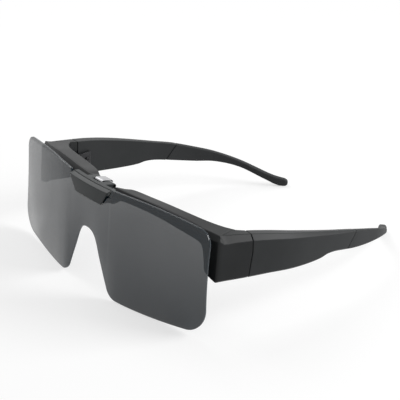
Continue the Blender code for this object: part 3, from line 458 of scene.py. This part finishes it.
leafScrew = {"radius": 0.0006, "headRadius": 0.0011, "headHeight": 0.0006, "round": 0.00026,
             "endRound": 0.00018, "slotHalf": 0.00064, "slotWidth": 0.00024, "slotDepth": 0.00030,
             "slots": 2, "room": 0.00025}
pivotScrew = {"radius": 0.0007, "headRadius": 0.0013, "headHeight": 0.0007, "round": 0.00024,
              "endRound": 0.00021, "slotHalf": 0.00140, "slotWidth": 0.00030, "slotDepth": 0.00032,
              "slots": 1}
shank = 0.001  # on the two originals, and lengthened on each copy
headRoom = leafScrew["headRadius"] + leafScrew["room"]  # the bore round a sunk head


def selectFaces(piece, wanted):
    bpy.ops.mesh.select_all(action="DESELECT")
    bpy.ops.mesh.select_mode(type="FACE")
    shape = bmesh.from_edit_mesh(piece.data)
    for face in shape.faces:
        if wanted(face):
            face.select_set(True)
    bmesh.update_edit_mesh(piece.data)


def modelScrew(name, look):
    piece = rod(name, look["headRadius"], 0, look["headHeight"], vertices=36)
    bpy.ops.object.mode_set(mode="EDIT")
    selectFaces(piece, lambda face: face.normal.z > squareOn)
    bpy.ops.mesh.bevel(offset=look["round"], segments=4, affect="EDGES")
    selectFaces(piece, lambda face: face.normal.z < -squareOn)
    bpy.ops.mesh.inset(thickness=look["headRadius"] - look["radius"])
    bpy.ops.mesh.extrude_region_move(TRANSFORM_OT_translate={"value": (0, 0, -shank)})
    bpy.ops.mesh.bevel(offset=look["endRound"], segments=2, affect="EDGES")
    bpy.ops.object.mode_set(mode="OBJECT")
    deep = look["headHeight"] - look["slotDepth"]
    for turn in range(look["slots"]):
        across = Matrix.Rotation(math.pi / 2 * turn, 3, "Z")
        wide, long = look["slotWidth"] / 2, look["slotHalf"]
        corners = ((-long, -wide), (long, -wide), (long, wide), (-long, wide))
        cut(piece, prism("slot", [across @ Vector((x, y, deep)) for x, y in corners],
                         Vector((0, 0, 2 * look["slotDepth"]))))
    return piece


screwMasters = {"leaf": modelScrew("leafScrewMaster", leafScrew),
                "pivot": modelScrew("pivotScrewMaster", pivotScrew)}


def setScrew(kind, name, spot, length, material, body, slot, node):
    source = screwMasters[kind]
    piece = bpy.data.objects.new(name, source.data.copy())
    piece.data.name = name
    bpy.context.scene.collection.objects.link(piece)
    for vert in piece.data.vertices:
        if vert.co.z < -shank / 2:
            vert.co.z -= length - shank
    piece.data.transform(spot)
    dress(piece, material)
    smooth(piece, 35)
    place(piece, body, slot, node)


# bracket: a bevelled cover in front of the lens, and a plate with two lugs behind it

bracket = {"halfWidth": 0.0155, "footHalfWidth": 0.0103, "height": 0.0078, "rise": 0.00025, "stations": 24,
           "coverThickness": 0.0009, "footThickness": 0.0004, "bevelHeight": 0.0010, "lip": 0.0027,
           "backThickness": 0.0024, "backFall": 0.0001, "gap": 0.0003, "edge": 0.00032,
           "screwSide": 0.0086, "screwDrop": 0.0050}
lug = {"inner": 0.0030, "width": 0.0042, "eyeRadius": 0.0011, "rootHeight": 0.0034, "edge": 0.00026,
       "eyeEnd": math.radians(78), "steps": 14}
pin = {"depth": 0.0088, "drop": 0.0015, "radius": 0.0004, "recess": 0.0012, "edge": 0.00014}
bracketTop = lens["height"] + bracket["rise"]
bracketFoot = bracketTop - bracket["height"]
pinPoint = onLens(0, lens["height"] - pin["drop"], pin["depth"])
backFront = lens["thickness"] + bracket["gap"]
backRear = backFront + bracket["backThickness"]
coverFront = -bracket["gap"] - bracket["coverThickness"]


def lensFacing(along, height, depth):  # a place on the lens, whose z axis points to the rear
    point = onLens(along, height, depth)
    return facing(point, onLens(along, height, depth + lens["thickness"]) - point)


def bracketRings(corners):
    rings = []
    for i in range(-bracket["stations"], bracket["stations"] + 1):
        share = i / bracket["stations"]
        ring = []
        for depth, height in corners:
            level = (height - bracketFoot) / bracket["height"]
            halfWidth = bracket["footHalfWidth"] + (bracket["halfWidth"] - bracket["footHalfWidth"]) * level
            ring.append(onLens(share * halfWidth, height, depth))
        rings.append(ring)
    return rings


def makeBracket():
    foot, top = bracketFoot, bracketTop
    lip = lens["height"] - bracket["lip"]
    cover = skin("bracketCover", bracketRings((
        (-bracket["gap"], foot), (-bracket["gap"] - bracket["footThickness"], foot),
        (coverFront, top - bracket["bevelHeight"]), (lens["thickness"], top), (lens["thickness"], lip),
        (-bracket["gap"], lip))))
    soften(cover, bracket["edge"])
    dress(cover, bracketBlack)
    settle(cover)
    place(cover, "lens", "bracket_black", "bracket_cover")

    plate = skin("bracketPlate", bracketRings((
        (backFront, foot), (backFront, top), (backRear, top - bracket["backFall"]), (backRear, foot))))
    soften(plate, bracket["edge"])
    inside = (backFront + backRear) / 2
    high = onLens(0, top - bracket["backFall"] / 2, inside)
    low = onLens(0, top - bracket["backFall"] / 2 - lug["rootHeight"], inside)
    outline = [high, low]
    for i in range(lug["steps"] + 1):
        angle = -math.pi / 2 + (lug["eyeEnd"] + math.pi / 2) * i / lug["steps"]
        outline.append(pinPoint + Vector((0, math.cos(angle), math.sin(angle))) * lug["eyeRadius"])
    for side, word, _ in sides:
        ear = prism(f"lug{word}", [Vector((side * lug["inner"], p.y, p.z)) for p in outline],
                    Vector((side * lug["width"], 0, 0)))
        soften(ear, lug["edge"])
        cut(plate, ear, "UNION")
    half = lug["inner"] + lug["width"] + bracket["backThickness"]
    drill(plate, facing(pinPoint, Vector((1, 0, 0))), pin["radius"] + leafScrew["room"], -half, half)
    seat = backRear - leafScrew["headHeight"] - bracket["gap"]
    length = seat - coverFront - bracket["coverThickness"] / 2
    for side, word, nodeWord in sides:
        spot = lensFacing(side * bracket["screwSide"], lens["height"] - bracket["screwDrop"], seat)
        drill(plate, spot, headRoom, -bracket["gap"], bracket["backThickness"])
        setScrew("leaf", f"bracketScrew{word}", spot, length, screwSteel, "lens", "steel",
                 f"bracket_screw_{nodeWord}")
    dress(plate, bracketBlack)
    settle(plate)
    place(plate, "lens", "bracket_black", "bracket_back")


makeBracket()


# the route is in pairs: how far forward of the pin, and how far above it
leafSpring = {"halfWidth": 0.0027, "thickness": 0.0003, "edge": 0.00008, "between": 3,
              "route": ((-0.00235, -0.0001), (-0.00215, 0.00075), (-0.00120, 0.00118), (0.0, 0.00140),
                        (0.0022, 0.00184), (0.0029, 0.00188), (0.0034, 0.00160), (0.0036, 0.00115))}
hingeBase = {"footDrop": 0.0040, "footThickness": 0.0008, "screwSide": 0.0051, "edge": 0.00018}


def makeLeaf():  # a sprung strip over the block, curled down in front and behind
    route = [Vector((0, pinPoint.y - forward, pinPoint.z + rise)) for forward, rise in leafSpring["route"]]
    line = [ring[0] for ring in betweenRings([[p] for p in route], leafSpring["between"])]
    rings = []
    for i, point in enumerate(line):
        way = (line[min(i + 1, len(line) - 1)] - line[max(i - 1, 0)]).normalized()
        up = Vector((0, way.z, -way.y)) * leafSpring["thickness"] / 2
        side = Vector((leafSpring["halfWidth"], 0, 0))
        rings.append([point - side - up, point + side - up, point + side + up, point - side + up])
    leaf = skin("detentLeaf", rings)
    soften(leaf, leafSpring["edge"], segments=2, angle=50)
    dress(leaf, leafSteel)
    smooth(leaf, 40)
    place(leaf, "frame", "steel", "detent_spring")


def makeFlipHinge():
    block = cleanCopy("hinge_base", "hingeBlock")
    soften(block, hingeBase["edge"], segments=2, angle=40)
    dress(block, bracketBlack)
    smooth(block)
    place(block, "frame", "bracket_black", "hinge_base")
    makeLeaf()
    half = lug["inner"] + lug["width"] - pin["recess"]
    axle = rod("flipPin", pin["radius"], -half, half, vertices=32)
    soften(axle, pin["edge"], segments=3, angle=60)
    axle.data.transform(facing(pinPoint, Vector((1, 0, 0))))
    dress(axle, screwSteel)
    smooth(axle, 40)
    place(axle, "frame", "steel", "flip_pin")


makeFlipHinge()
print("bracket and flip hinge made")


# arms: one outline for the end pieces, the temples and the soft tips

front = {"standoff": 0.0055, "cornerSetback": 0.0011, "cornerInset": 0.0015, "cornerRound": 0.0016,
         "belowLensTop": 0.0012, "fall": 0.0052, "chamferHeight": 0.0023, "chamferDepth": 0.0019,
         "height": 0.0040, "depth": 0.0070, "topSlope": 0.26, "rimDepth": 0.0035, "endHeight": 0.0209,
         "flange": 0.0045, "notchSideGap": 0.0022, "grooveWidth": 0.0008, "grooveDepth": 0.0004,
         "edge": 0.00030, "overrun": 0.003, "between": 3}
# shares of the groove's width and depth, of the bar's half length, of the rim's depth and height, of the
# corner's round and of the flange
frontShares = {"grooveFloor": 0.35, "grooveRear": 0.25, "grooveEnd": 0.86, "grooveFade": 0.10,
               "rimFoot": 0.75, "rimUnder": 0.875, "rimChamfer": 0.125, "cornerStep": 0.25,
               "seamFlange": (2 / 3, 5 / 6)}
arm = {"length": 0.1340, "thickness": 0.0070, "chamferWidth": 0.0023, "chamferHeight": 0.0034,
       "bottomChamfer": 0.0010, "innerFall": 0.0002, "innerRise": 0.0018, "riseEnd": 0.45, "knee": 0.6,
       "hingeSeam": 0.0164, "hingeSlant": 0.0018, "tipSeam": 0.0807, "tipSlant": 0.0067, "gap": 0.0003,
       "edge": 0.00028, "tipEdge": 0.00050, "stations": 40, "tipStations": 26, "slopeStep": 0.002,
       "tipEnd": 0.0017, "tipStop": 0.0002, "roundSteps": 6, "roundSweep": math.radians(84),
       "roundShrink": 0.62}

# along the arm: a share of its length, and a share of the size at the corner or of the arm's own size
outShares = ((0.0, 1.0), (0.10, 1.019), (0.19, 1.042), (0.28, 1.0535), (0.37, 1.044), (0.50, 1.017),
             (0.59, 0.992), (0.68, 0.948), (0.77, 0.893), (0.86, 0.786), (0.95, 0.613), (1.0, 0.538))
topShares = ((0.0, 1.0), (0.10, 0.953), (0.19, 0.903), (0.28, 0.842), (0.37, 0.776), (0.50, 0.672),
             (0.59, 0.599), (0.68, 0.510), (0.77, 0.413), (0.86, 0.289), (0.95, 0.130), (1.0, 0.076))
bottomShares = ((0.0, 1.0), (0.10, 0.947), (0.19, 0.921), (0.28, 0.874), (0.37, 0.840), (0.425, 0.840),
                (0.455, 0.866), (0.50, 0.846), (0.59, 0.735), (0.68, 0.636), (0.77, 0.560), (0.86, 0.400),
                (0.93, 0.152), (0.965, 0.020), (0.985, 0.0), (1.0, 0.0))
thicknessShares = ((0.0, 0.79), (0.05, 0.89), (0.12, 0.94), (0.28, 0.86), (0.42, 0.62), (0.57, 0.46),
                   (0.70, 0.40), (0.80, 0.42), (0.90, 0.50), (1.0, 0.55))
chamferWidthShares = ((0.0, 1.0), (0.12, 0.87), (0.28, 0.74), (0.50, 0.55), (0.60, 0.25), (0.90, 0.24),
                      (1.0, 0.42))
chamferHeightShares = ((0.0, 1.0), (0.12, 0.77), (0.28, 0.59), (0.50, 0.35), (0.60, 0.16), (0.90, 0.14),
                       (1.0, 0.32))
# along the bar: a share of the corner's distance from the middle, and a share of the bar's own size
fallShares = ((0.0, 0.0), (0.15, 0.01), (0.29, 0.04), (0.43, 0.12), (0.57, 0.28), (0.72, 0.51),
              (0.86, 0.80), (1.0, 1.0))
heightShares = ((0.0, 2.10), (0.10, 2.08), (0.15, 1.86), (0.21, 1.15), (0.29, 0.97), (0.40, 0.93),
                (0.57, 1.05), (0.72, 1.27), (0.82, 1.38))
depthShares = ((0.0, 0.62), (0.12, 0.66), (0.143, 0.72), (0.20, 0.89), (0.26, 1.04), (0.34, 1.15),
               (0.42, 1.12), (0.50, 1.07), (0.62, 1.04), (0.72, 1.08), (0.79, 1.22), (0.87, 1.52),
               (0.90, 1.70), (0.93, 1.88))
slopeShares = ((0.0, 1.75), (0.143, 1.73), (0.158, 1.42), (0.172, 1.19), (0.20, 0.92), (0.34, 1.08),
               (0.50, 0.90), (0.72, 0.66), (1.0, 0.66))
barStations = (0.0, 0.09, 0.125, 0.15, 0.18, 0.21, 0.26, 0.34, 0.43, 0.52, 0.61, 0.70, 0.77, 0.82)
# the side rim: shares of that distance for its front and for its rear edge, and of the end piece's height
rimStations = ((0.868, 0.845, 0.263), (0.887, 0.862, 0.40), (0.898, 0.875, 0.64), (0.909, 0.886, 0.905))
# the gusset's rear edge from the corner to the end piece, and the end piece's places along the arm
gussetShares = (0.896, 0.904, 0.911, 0.917, 0.922)
endStations = (0.018, 0.060)
frameStrips = ((2, 11), (3, 10), (4, 9))  # corners joined across an end that isn't flat
armStrips = ((2, 7), (3, 6))

cornerX = bend(lens["halfWidth"])[0] - front["cornerInset"]
armFront = onLens(alongAt(cornerX), lens["height"], 0).y + front["standoff"] + front["cornerSetback"]
browTop = onLens(0, lens["height"], 0).z - front["belowLensTop"]
cornerTop = browTop - front["fall"]
cornerBottom = cornerTop - front["endHeight"]
hingeSeam = arm["hingeSeam"] / arm["length"]
tipSeam = arm["tipSeam"] / arm["length"]


def frontY(x, z):
    along = alongAt(x)
    height = (z - lensOrigin.z + bend(along)[1] * math.sin(lens["lean"])) / math.cos(lens["lean"])
    setback = front["standoff"] + front["cornerSetback"] * min(abs(x) / cornerX, 1) ** 4
    return onLens(along, height, 0).y + setback


def armPlan(share):  # the outer line's point in plan, and the way inwards
    ahead, behind = min(share + arm["slopeStep"], 1), max(share - arm["slopeStep"], 0)
    spread = cornerX * (follow(outShares, ahead) - follow(outShares, behind))
    point = Vector((cornerX * follow(outShares, share), armFront + arm["length"] * share))
    return point, Vector((-arm["length"] * (ahead - behind), spread)).normalized()


def armSection(share):  # from the inner bottom edge, round the outside and the top, to the inner face
    top = cornerTop * follow(topShares, share)
    bottom = cornerBottom * max(follow(bottomShares, share), 0)
    thickness = arm["thickness"] * follow(thicknessShares, share)
    chamferWidth = arm["chamferWidth"] * follow(chamferWidthShares, share)
    chamferHeight = arm["chamferHeight"] * follow(chamferHeightShares, share)
    low = min(arm["bottomChamfer"], (top - bottom) / 4)
    rise = arm["innerRise"] * max(1 - share / arm["riseEnd"], 0)  # the underside slopes up to the inner face
    knee = bottom + (top - bottom) * arm["knee"]
    corners = ((thickness, bottom + rise), (low, bottom), (0, bottom + low), (0, knee),
               (0, top - chamferHeight), (chamferWidth, top), (thickness, top - arm["innerFall"]),
               (thickness, knee))
    point, inward = armPlan(share)
    return [Vector((point.x + inward.x * d, point.y + inward.y * d, z)) for d, z in corners]


def slantedSection(share, hingeSlant, tipSlant, gap=0):  # both seams slant to the front on their way down
    section = armSection(share)
    low, high = section[1].z, max(p.z for p in section)
    found = []
    for index, corner in enumerate(section):
        level = (corner.z - low) / (high - low)
        forward = hingeSlant * max(arm["knee"] - level, 0) / arm["knee"] + tipSlant * (1 - level)
        found.append(armSection(share + (gap - forward) / arm["length"])[index])
    return found


def onSide(side, rings):
    return [[Vector((side * p.x, p.y, p.z)) for p in ring] for ring in rings]


# front frame: the brow bar, the side rims and the deep end pieces in one moulding

def browZ(x):
    return browTop - front["fall"] * follow(fallShares, abs(x) / cornerX)


def barBottom(x):
    return browZ(x) - front["height"] * follow(heightShares, abs(x) / cornerX)


def barRear(x):
    z = browZ(x)
    depth = front["depth"] * follow(depthShares, abs(x) / cornerX)
    slope = front["topSlope"] * follow(slopeShares, abs(x) / cornerX)
    return Vector((x, frontY(x, z) + front["chamferDepth"] + depth, z - slope * depth))


def groove(start, end, depth):  # two corners behind the chamfer: the floor and the rear edge of a fine groove
    way = (end - start).normalized()
    floor = start + way * front["grooveWidth"] * frontShares["grooveFloor"] - Vector((0, 0, depth))
    rear = start + way * front["grooveWidth"] - Vector((0, 0, depth * frontShares["grooveRear"]))
    return [floor, rear]


def rimRing(x, rearX, bottom):
    top = browZ(x)
    faceTop = top - front["chamferHeight"]
    low = (faceTop - bottom) * frontShares["rimChamfer"]
    middle = (bottom + faceTop) / 2
    rear = barRear(rearX)
    flange = rear.z - min(front["flange"], rear.z - bottom)
    under = (flange + bottom) / 2
    crest = Vector((x, frontY(x, top) + front["chamferDepth"], top))
    fade = (frontShares["grooveEnd"] - abs(x) / cornerX) / frontShares["grooveFade"]
    depth = front["grooveDepth"] * min(max(fade, 0), 1)
    return [
        Vector((x, frontY(x, bottom) + front["rimDepth"] * frontShares["rimFoot"], bottom)),
        Vector((x, frontY(x, bottom) + low, bottom)),
        Vector((x, frontY(x, bottom + low), bottom + low)),
        Vector((x, frontY(x, middle), middle)),
        Vector((x, frontY(x, faceTop), faceTop)),
        crest,
        *groove(crest, rear, depth),
        rear,
        Vector((rear.x, rear.y, flange)),
        Vector((x, frontY(x, flange) + front["rimDepth"], flange)),
        Vector((x, frontY(x, under) + front["rimDepth"] * frontShares["rimUnder"], under)),
    ]


def gussetCorners(crest, station, wall):
    rear = barRear(cornerX * gussetShares[station])
    flange = rear.z - front["flange"]
    return groove(crest, rear, 0) + [rear, Vector((rear.x, rear.y, flange)), Vector((wall.x, wall.y, flange))]


def cornerRing(station):  # the turn of the corner, by 0, 45 and 90 degrees
    turn = math.radians(45) * station
    radius = front["cornerRound"]
    centreX = cornerX - radius
    forward = Vector((math.sin(turn), -math.cos(turn), 0))
    low = arm["bottomChamfer"]
    faceTop = cornerTop - front["chamferHeight"]
    middle = cornerBottom + front["endHeight"] * arm["knee"]

    def outer(z, inset):
        return Vector((centreX, frontY(centreX, z) + radius, z)) + forward * (radius - inset)

    crestY = frontY(cornerX, cornerTop) + front["chamferDepth"]
    crest = Vector((cornerX - arm["chamferWidth"], crestY, cornerTop))
    crest += forward * radius * frontShares["cornerStep"]
    innerX = armSection(0)[0].x
    step = radius * frontShares["cornerStep"] * (1 + turn)

    def inner(z):
        return Vector((innerX, frontY(innerX, z) + front["rimDepth"] + step, z))

    return [inner(cornerBottom + arm["innerRise"]), outer(cornerBottom, low), outer(cornerBottom + low, 0),
            outer(middle, 0), outer(faceTop, 0), crest, *gussetCorners(crest, station, inner(middle)),
            inner(middle)]


def endRing(station, share):
    section = armSection(share)
    return section[:6] + gussetCorners(section[5], station, section[7]) + section[7:]


def seamRing():
    section = slantedSection(hingeSeam, arm["hingeSlant"], 0)
    lower = [section[6] - Vector((0, 0, front["flange"] * share)) for share in frontShares["seamFlange"]]
    return section[:6] + groove(section[5], section[6], 0) + [section[6], *lower, section[7]]


# temple hinges: the frame and the temples are pocketed for them before they are made
hinge = {"axisInset": 0.0082, "radius": 0.0017, "knuckle": 0.0024, "leafThickness": 0.0012,
         "leafLength": 0.0085, "leafOffset": 0.0014, "level": 0.47, "gap": 0.0003, "edge": 0.00012,
         "screwSetback": 0.0052, "screwBite": 0.0030, "steps": 24}
hingeHalf = hinge["knuckle"] * 3 / 2  # three knuckles, from the middle


def hingePlace(side):  # on the axis, at the middle of the knuckles
    section = armSection(hingeSeam)
    level = section[1].z + (section[5].z - section[1].z) * hinge["level"]
    seamPoint = armPlan(hingeSeam)[0]
    return Vector((side * (seamPoint.x - hinge["axisInset"]), seamPoint.y, level))


def wallX(side, y):  # the arm's inner face at y, at the hinge's level
    share = (y - armFront) / arm["length"]
    for _ in range(3):
        share += (y - armSection(share)[7].y) / arm["length"]
    return side * armSection(share)[7].x


def pocket(side, way, word):  # the room for a hinge leaf and its barrel
    grow = hinge["gap"]
    axis = hingePlace(side)
    radius = hinge["radius"] + grow
    near = hinge["leafOffset"] + grow
    far = hinge["leafOffset"] - hinge["leafThickness"] - grow
    length = hinge["leafLength"] + grow
    end = side * (wallX(side, axis.y + way * length) - axis.x)
    start = math.acos(near / radius)
    sweep = start - math.acos(far / radius) + 2 * math.pi
    plan = [(end, length)]
    for i in range(hinge["steps"] + 1):
        angle = start - sweep * i / hinge["steps"]
        plan.append((radius * math.cos(angle), radius * math.sin(angle)))
    plan.append((end - hinge["leafThickness"] - 2 * grow, length))
    low = -hingeHalf - 2 * grow
    high = -low + pivotScrew["headHeight"] + grow
    outline = [Vector((axis.x + side * out, axis.y + way * along, axis.z + low)) for out, along in plan]
    return prism(f"pocket{word}", outline, Vector((0, 0, high - low)))


def makeFrontFrame():
    stations = [cornerX * share for share in barStations]
    rings = [rimRing(x, x, barBottom(x)) for x in stations]
    for share, rearShare, drop in rimStations:
        rings.append(rimRing(cornerX * share, cornerX * rearShare, cornerTop - front["endHeight"] * drop))
    turns = len(gussetShares) - len(endStations)
    rings += [cornerRing(i) for i in range(turns)]
    rings += [endRing(turns + i, share) for i, share in enumerate(endStations)]
    rings.append(seamRing())
    rings = betweenRings(rings, front["between"])
    piece = skin("browFrame", onSide(-1, reversed(rings[1:])) + rings, frameStrips)
    soften(piece, front["edge"])
    notchHalf = lug["inner"] + lug["width"] + front["notchSideGap"]
    footTop = pinPoint.z - hingeBase["footDrop"]
    floor = footTop - hingeBase["footThickness"] - hinge["gap"]
    fore, aft = frontY(0, floor) - front["overrun"], barRear(0).y + front["overrun"]
    above = browTop + front["overrun"]
    corners = ((fore, floor), (aft, floor), (aft, above), (fore, above))
    outline = [Vector((-notchHalf, y, z)) for y, z in corners]
    cut(piece, prism("bridgeNotch", outline, Vector((2 * notchHalf, 0, 0))))
    seat = barBottom(hingeBase["screwSide"]) + leafScrew["headHeight"] + hinge["gap"]
    length = footTop - hingeBase["footThickness"] / 2 - seat
    for side, word, nodeWord in sides:
        cut(piece, pocket(side, -1, word))
        spot = facing(Vector((side * hingeBase["screwSide"], pinPoint.y, seat)), Vector((0, 0, -1)))
        drill(piece, spot, headRoom, -hinge["gap"], front["overrun"])
        setScrew("leaf", f"baseScrew{word}", spot, length, screwSteel, "frame", "steel",
                 f"base_screw_{nodeWord}")
    dress(piece, frameBlack)
    settle(piece)
    place(piece, "frame", "frame_black", "front_frame")


makeFrontFrame()
print("front frame made")


# temples and soft tips

tang = {"halfThickness": 0.0007, "behind": 0.0030, "ahead": 0.0022, "heightShare": 0.36, "fit": 0.0001,
        "steps": 4}


def tangRings(grow):  # the tang from inside the temple into the tip, or its socket when grown
    rings = []
    reach = arm["tipSlant"] + tang["behind"] + tang["ahead"] + grow
    half = tang["halfThickness"] + grow
    for i in range(tang["steps"] + 1):
        share = tipSeam - arm["tipSlant"] / arm["length"]
        share += (-tang["behind"] + reach * i / tang["steps"]) / arm["length"]
        section = armSection(share)
        middle = sum(section, Vector()) / len(section)
        thickness = arm["thickness"] * follow(thicknessShares, share)
        height = (section[5].z - section[0].z) * tang["heightShare"]
        point, inward = armPlan(share)
        near, far = thickness / 2 - half, thickness / 2 + half
        low, high = middle.z - height / 2 - grow, middle.z + height / 2 + grow
        corners = ((far, low), (near, low), (near, high), (far, high))
        rings.append([Vector((point.x + inward.x * d, point.y + inward.y * d, z)) for d, z in corners])
    return rings


def finishSide(piece, side, material, slot, nodeWord, node):  # made on the left, mirrored for the right
    if side < 0:
        piece.data.transform(Matrix.Scale(-1, 4, (1, 0, 0)))
        piece.data.flip_normals()
    dress(piece, material)
    settle(piece)
    place(piece, f"{nodeWord}_temple", slot, f"{node}_{nodeWord}")


def makeTemple(side, word, nodeWord):
    rings = []
    for i in range(arm["stations"] + 1):
        t = i / arm["stations"]
        gap = arm["gap"] * (1 - 2 * t)  # behind the hinge seam, and in front of the tip's
        rings.append(slantedSection(hingeSeam + (tipSeam - hingeSeam) * t, arm["hingeSlant"] * (1 - t),
                                    arm["tipSlant"] * t, gap))
    piece = skin(f"temple{word}", rings, armStrips)
    soften(piece, arm["edge"])
    cut(piece, pocket(1, 1, word))
    cut(piece, skin(f"tang{word}", tangRings(0)), "UNION")
    finishSide(piece, side, templeBlack, "temple_black", nodeWord, "temple")


def makeTip(side, word, nodeWord):
    stop = 1 - arm["tipStop"] / arm["length"]
    last = stop - arm["tipEnd"] / arm["length"]
    rings = []
    for i in range(arm["tipStations"] + 1):
        t = i / arm["tipStations"]
        rings.append(slantedSection(tipSeam + (last - tipSeam) * t, 0, arm["tipSlant"] * (1 - t)))
    for i in range(1, arm["roundSteps"] + 1):  # the rounded end
        turn = arm["roundSweep"] * i / arm["roundSteps"]
        section = armSection(last + (stop - last) * math.sin(turn) / math.sin(arm["roundSweep"]))
        middle = sum(section, Vector()) / len(section)
        shrink = 1 - (1 - math.cos(turn)) * arm["roundShrink"]
        rings.append([middle + (p - middle) * shrink for p in section])
    tip = skin(f"templeTip{word}", rings, armStrips)
    soften(tip, arm["tipEdge"])
    cut(tip, skin(f"socket{word}", tangRings(tang["fit"])))
    finishSide(tip, side, softBlack, "soft_black", nodeWord, "temple_tip")


for side, word, nodeWord in sides:
    makeTemple(side, word, nodeWord)
    makeTip(side, word, nodeWord)
print("temples made")


# temple hinges and their screws

def leafScrewSpot(side, way):  # on a leaf's inner face, with the z axis away from the arm
    axis = hingePlace(side)
    inner = hinge["leafOffset"] - hinge["leafThickness"]
    wall = side * (wallX(side, axis.y + way * hinge["leafLength"]) - axis.x)

    def point(out, along):
        return Vector((axis.x + side * out, axis.y + way * along, axis.z))

    root = point(inner, math.sqrt(hinge["radius"] ** 2 - inner ** 2))
    end = point(wall - hinge["leafThickness"], hinge["leafLength"])
    along = (end - root).normalized()
    inward = Vector((along.y, -along.x, 0)) * -side * way
    share = hinge["screwSetback"] / hinge["leafLength"]
    return facing(root + (end - root) * share + inward * hinge["gap"], inward)


def makeHinges():
    length = hinge["leafThickness"] + hinge["gap"] + hinge["screwBite"]
    for side, word, nodeWord in sides:
        for way, owner, body in ((-1, "frame", "frame"), (1, "temple", f"{nodeWord}_temple")):
            leaf = cleanCopy(f"{owner}_hinge_{nodeWord}", f"{owner}Leaf{word}")
            soften(leaf, hinge["edge"], segments=2, angle=50)
            dress(leaf, hingeBlack)
            smooth(leaf, 40)
            place(leaf, body, "black_steel", f"{owner}_hinge_{nodeWord}")
            setScrew("leaf", f"{owner}PlateScrew{word}", leafScrewSpot(side, way), length, screwBlack, body,
                     "black_steel", f"{owner}_plate_screw_{nodeWord}")
        top = hingePlace(side) + Vector((0, 0, hingeHalf + hinge["gap"]))
        setScrew("pivot", f"hingeScrew{word}", Matrix.Translation(top), 2 * hingeHalf + hinge["gap"],
                 screwBlack, "frame", "black_steel", f"hinge_screw_{nodeWord}")


makeHinges()
for master in screwMasters.values():
    bpy.data.objects.remove(master)
print("hinges and screws made")


# stage, light and camera

studio = {"floorSize": 12, "floorDrop": 0.0002, "floorColour": 0.80, "seenColour": 1.10, "floorGlow": 0.62,
          "whiteFrom": (0.16, 0.50), "worldLight": 0.35, "worldSeen": 1.0}


def seenFactor(nodes, links):  # 1 for what the camera, a reflection or a see-through surface looks at
    path = addNode(nodes, "ShaderNodeLightPath")
    first = addNode(nodes, "ShaderNodeMath", operation="MAXIMUM")
    second = addNode(nodes, "ShaderNodeMath", operation="MAXIMUM")
    links.new(path.outputs["Is Camera Ray"], first.inputs[0])
    links.new(path.outputs["Is Glossy Ray"], first.inputs[1])
    links.new(first.outputs[0], second.inputs[0])
    links.new(path.outputs["Is Transmission Ray"], second.inputs[1])
    return second.outputs[0]


def makeStage():
    deselectAll()
    bpy.ops.mesh.primitive_plane_add(size=studio["floorSize"], location=(0, 0, -studio["floorDrop"]))
    floor = bpy.context.object
    floor.name = "floor"
    material = bpy.data.materials.new("paleFloor")
    material.use_nodes = True
    nodes, links = material.node_tree.nodes, material.node_tree.links
    nodes.clear()
    out = addNode(nodes, "ShaderNodeOutputMaterial")
    matt = addNode(nodes, "ShaderNodeBsdfDiffuse")
    white = addNode(nodes, "ShaderNodeEmission", Strength=1.0)
    glow = addNode(nodes, "ShaderNodeMath", operation="MULTIPLY")
    blend = addNode(nodes, "ShaderNodeMixShader")
    seen = seenFactor(nodes, links)
    spot = addNode(nodes, "ShaderNodeTexCoord")
    away = addNode(nodes, "ShaderNodeVectorMath", operation="LENGTH")
    links.new(spot.outputs["Object"], away.inputs[0])
    links.new(seen, glow.inputs[0])
    # the floor turns plain white well away from the object
    vary(nodes, links, away.outputs["Value"], (studio["floorGlow"], 1), glow.inputs[1], studio["whiteFrom"])
    vary(nodes, links, seen, (studio["floorColour"], studio["seenColour"]), matt.inputs["Color"])
    links.new(glow.outputs[0], blend.inputs[0])
    links.new(matt.outputs["BSDF"], blend.inputs[1])
    links.new(white.outputs["Emission"], blend.inputs[2])
    links.new(blend.outputs["Shader"], out.inputs["Surface"])
    floor.data.materials.append(material)

    world = bpy.data.worlds.new("studio")
    bpy.context.scene.world = world
    world.use_nodes = True
    nodes, links = world.node_tree.nodes, world.node_tree.links
    sky = nodes["Background"]
    vary(nodes, links, seenFactor(nodes, links), (studio["worldLight"], studio["worldSeen"]),
         sky.inputs["Strength"])
    sky.inputs["Color"].default_value = (1, 1, 1, 1)


lamps = {
    "keyBox": {"place": (0.60, 0.62, 0.50), "size": (0.6, 0.6), "power": 8.5},
    "fillBox": {"place": (-0.72, 0.0, 0.73), "size": (0.6, 0.6), "power": 3.5},
}
target = Vector((0, 0, 0.02))


def makeLamps():
    for name, lamp in lamps.items():
        light = bpy.data.lights.new(name, "AREA")
        light.shape = "RECTANGLE"
        light.size, light.size_y = lamp["size"]
        light.energy = lamp["power"]
        holder = bpy.data.objects.new(name, light)
        bpy.context.scene.collection.objects.link(holder)
        holder.location = lamp["place"]
        holder.rotation_euler = (target - holder.location).to_track_quat("-Z", "Y").to_euler()


shot = {"target": (0.03134, -0.03738, 0.04302), "azimuth": 51.786, "elevation": 23.19, "roll": 0.99,
        "distance": 0.57894, "focal": 117.865, "sensor": 36, "clip": (0.01, 50)}


def makeCamera():
    data = bpy.data.cameras.new("camera")
    data.lens = shot["focal"]
    data.sensor_width = shot["sensor"]
    camera = bpy.data.objects.new("camera", data)
    bpy.context.scene.collection.objects.link(camera)
    turn = (Matrix.Rotation(math.radians(shot["azimuth"]), 4, "Z")
            @ Matrix.Rotation(math.radians(90 - shot["elevation"]), 4, "X")
            @ Matrix.Rotation(math.radians(shot["roll"]), 4, "Z"))
    back = turn @ Vector((0, 0, 1))
    camera.matrix_world = Matrix.Translation(Vector(shot["target"]) + back * shot["distance"]) @ turn
    data.clip_start, data.clip_end = shot["clip"]
    bpy.context.scene.camera = camera


makeStage()
makeLamps()
makeCamera()
bpy.context.scene.view_settings.view_transform = "Standard"
print("stage, lamps and camera set")
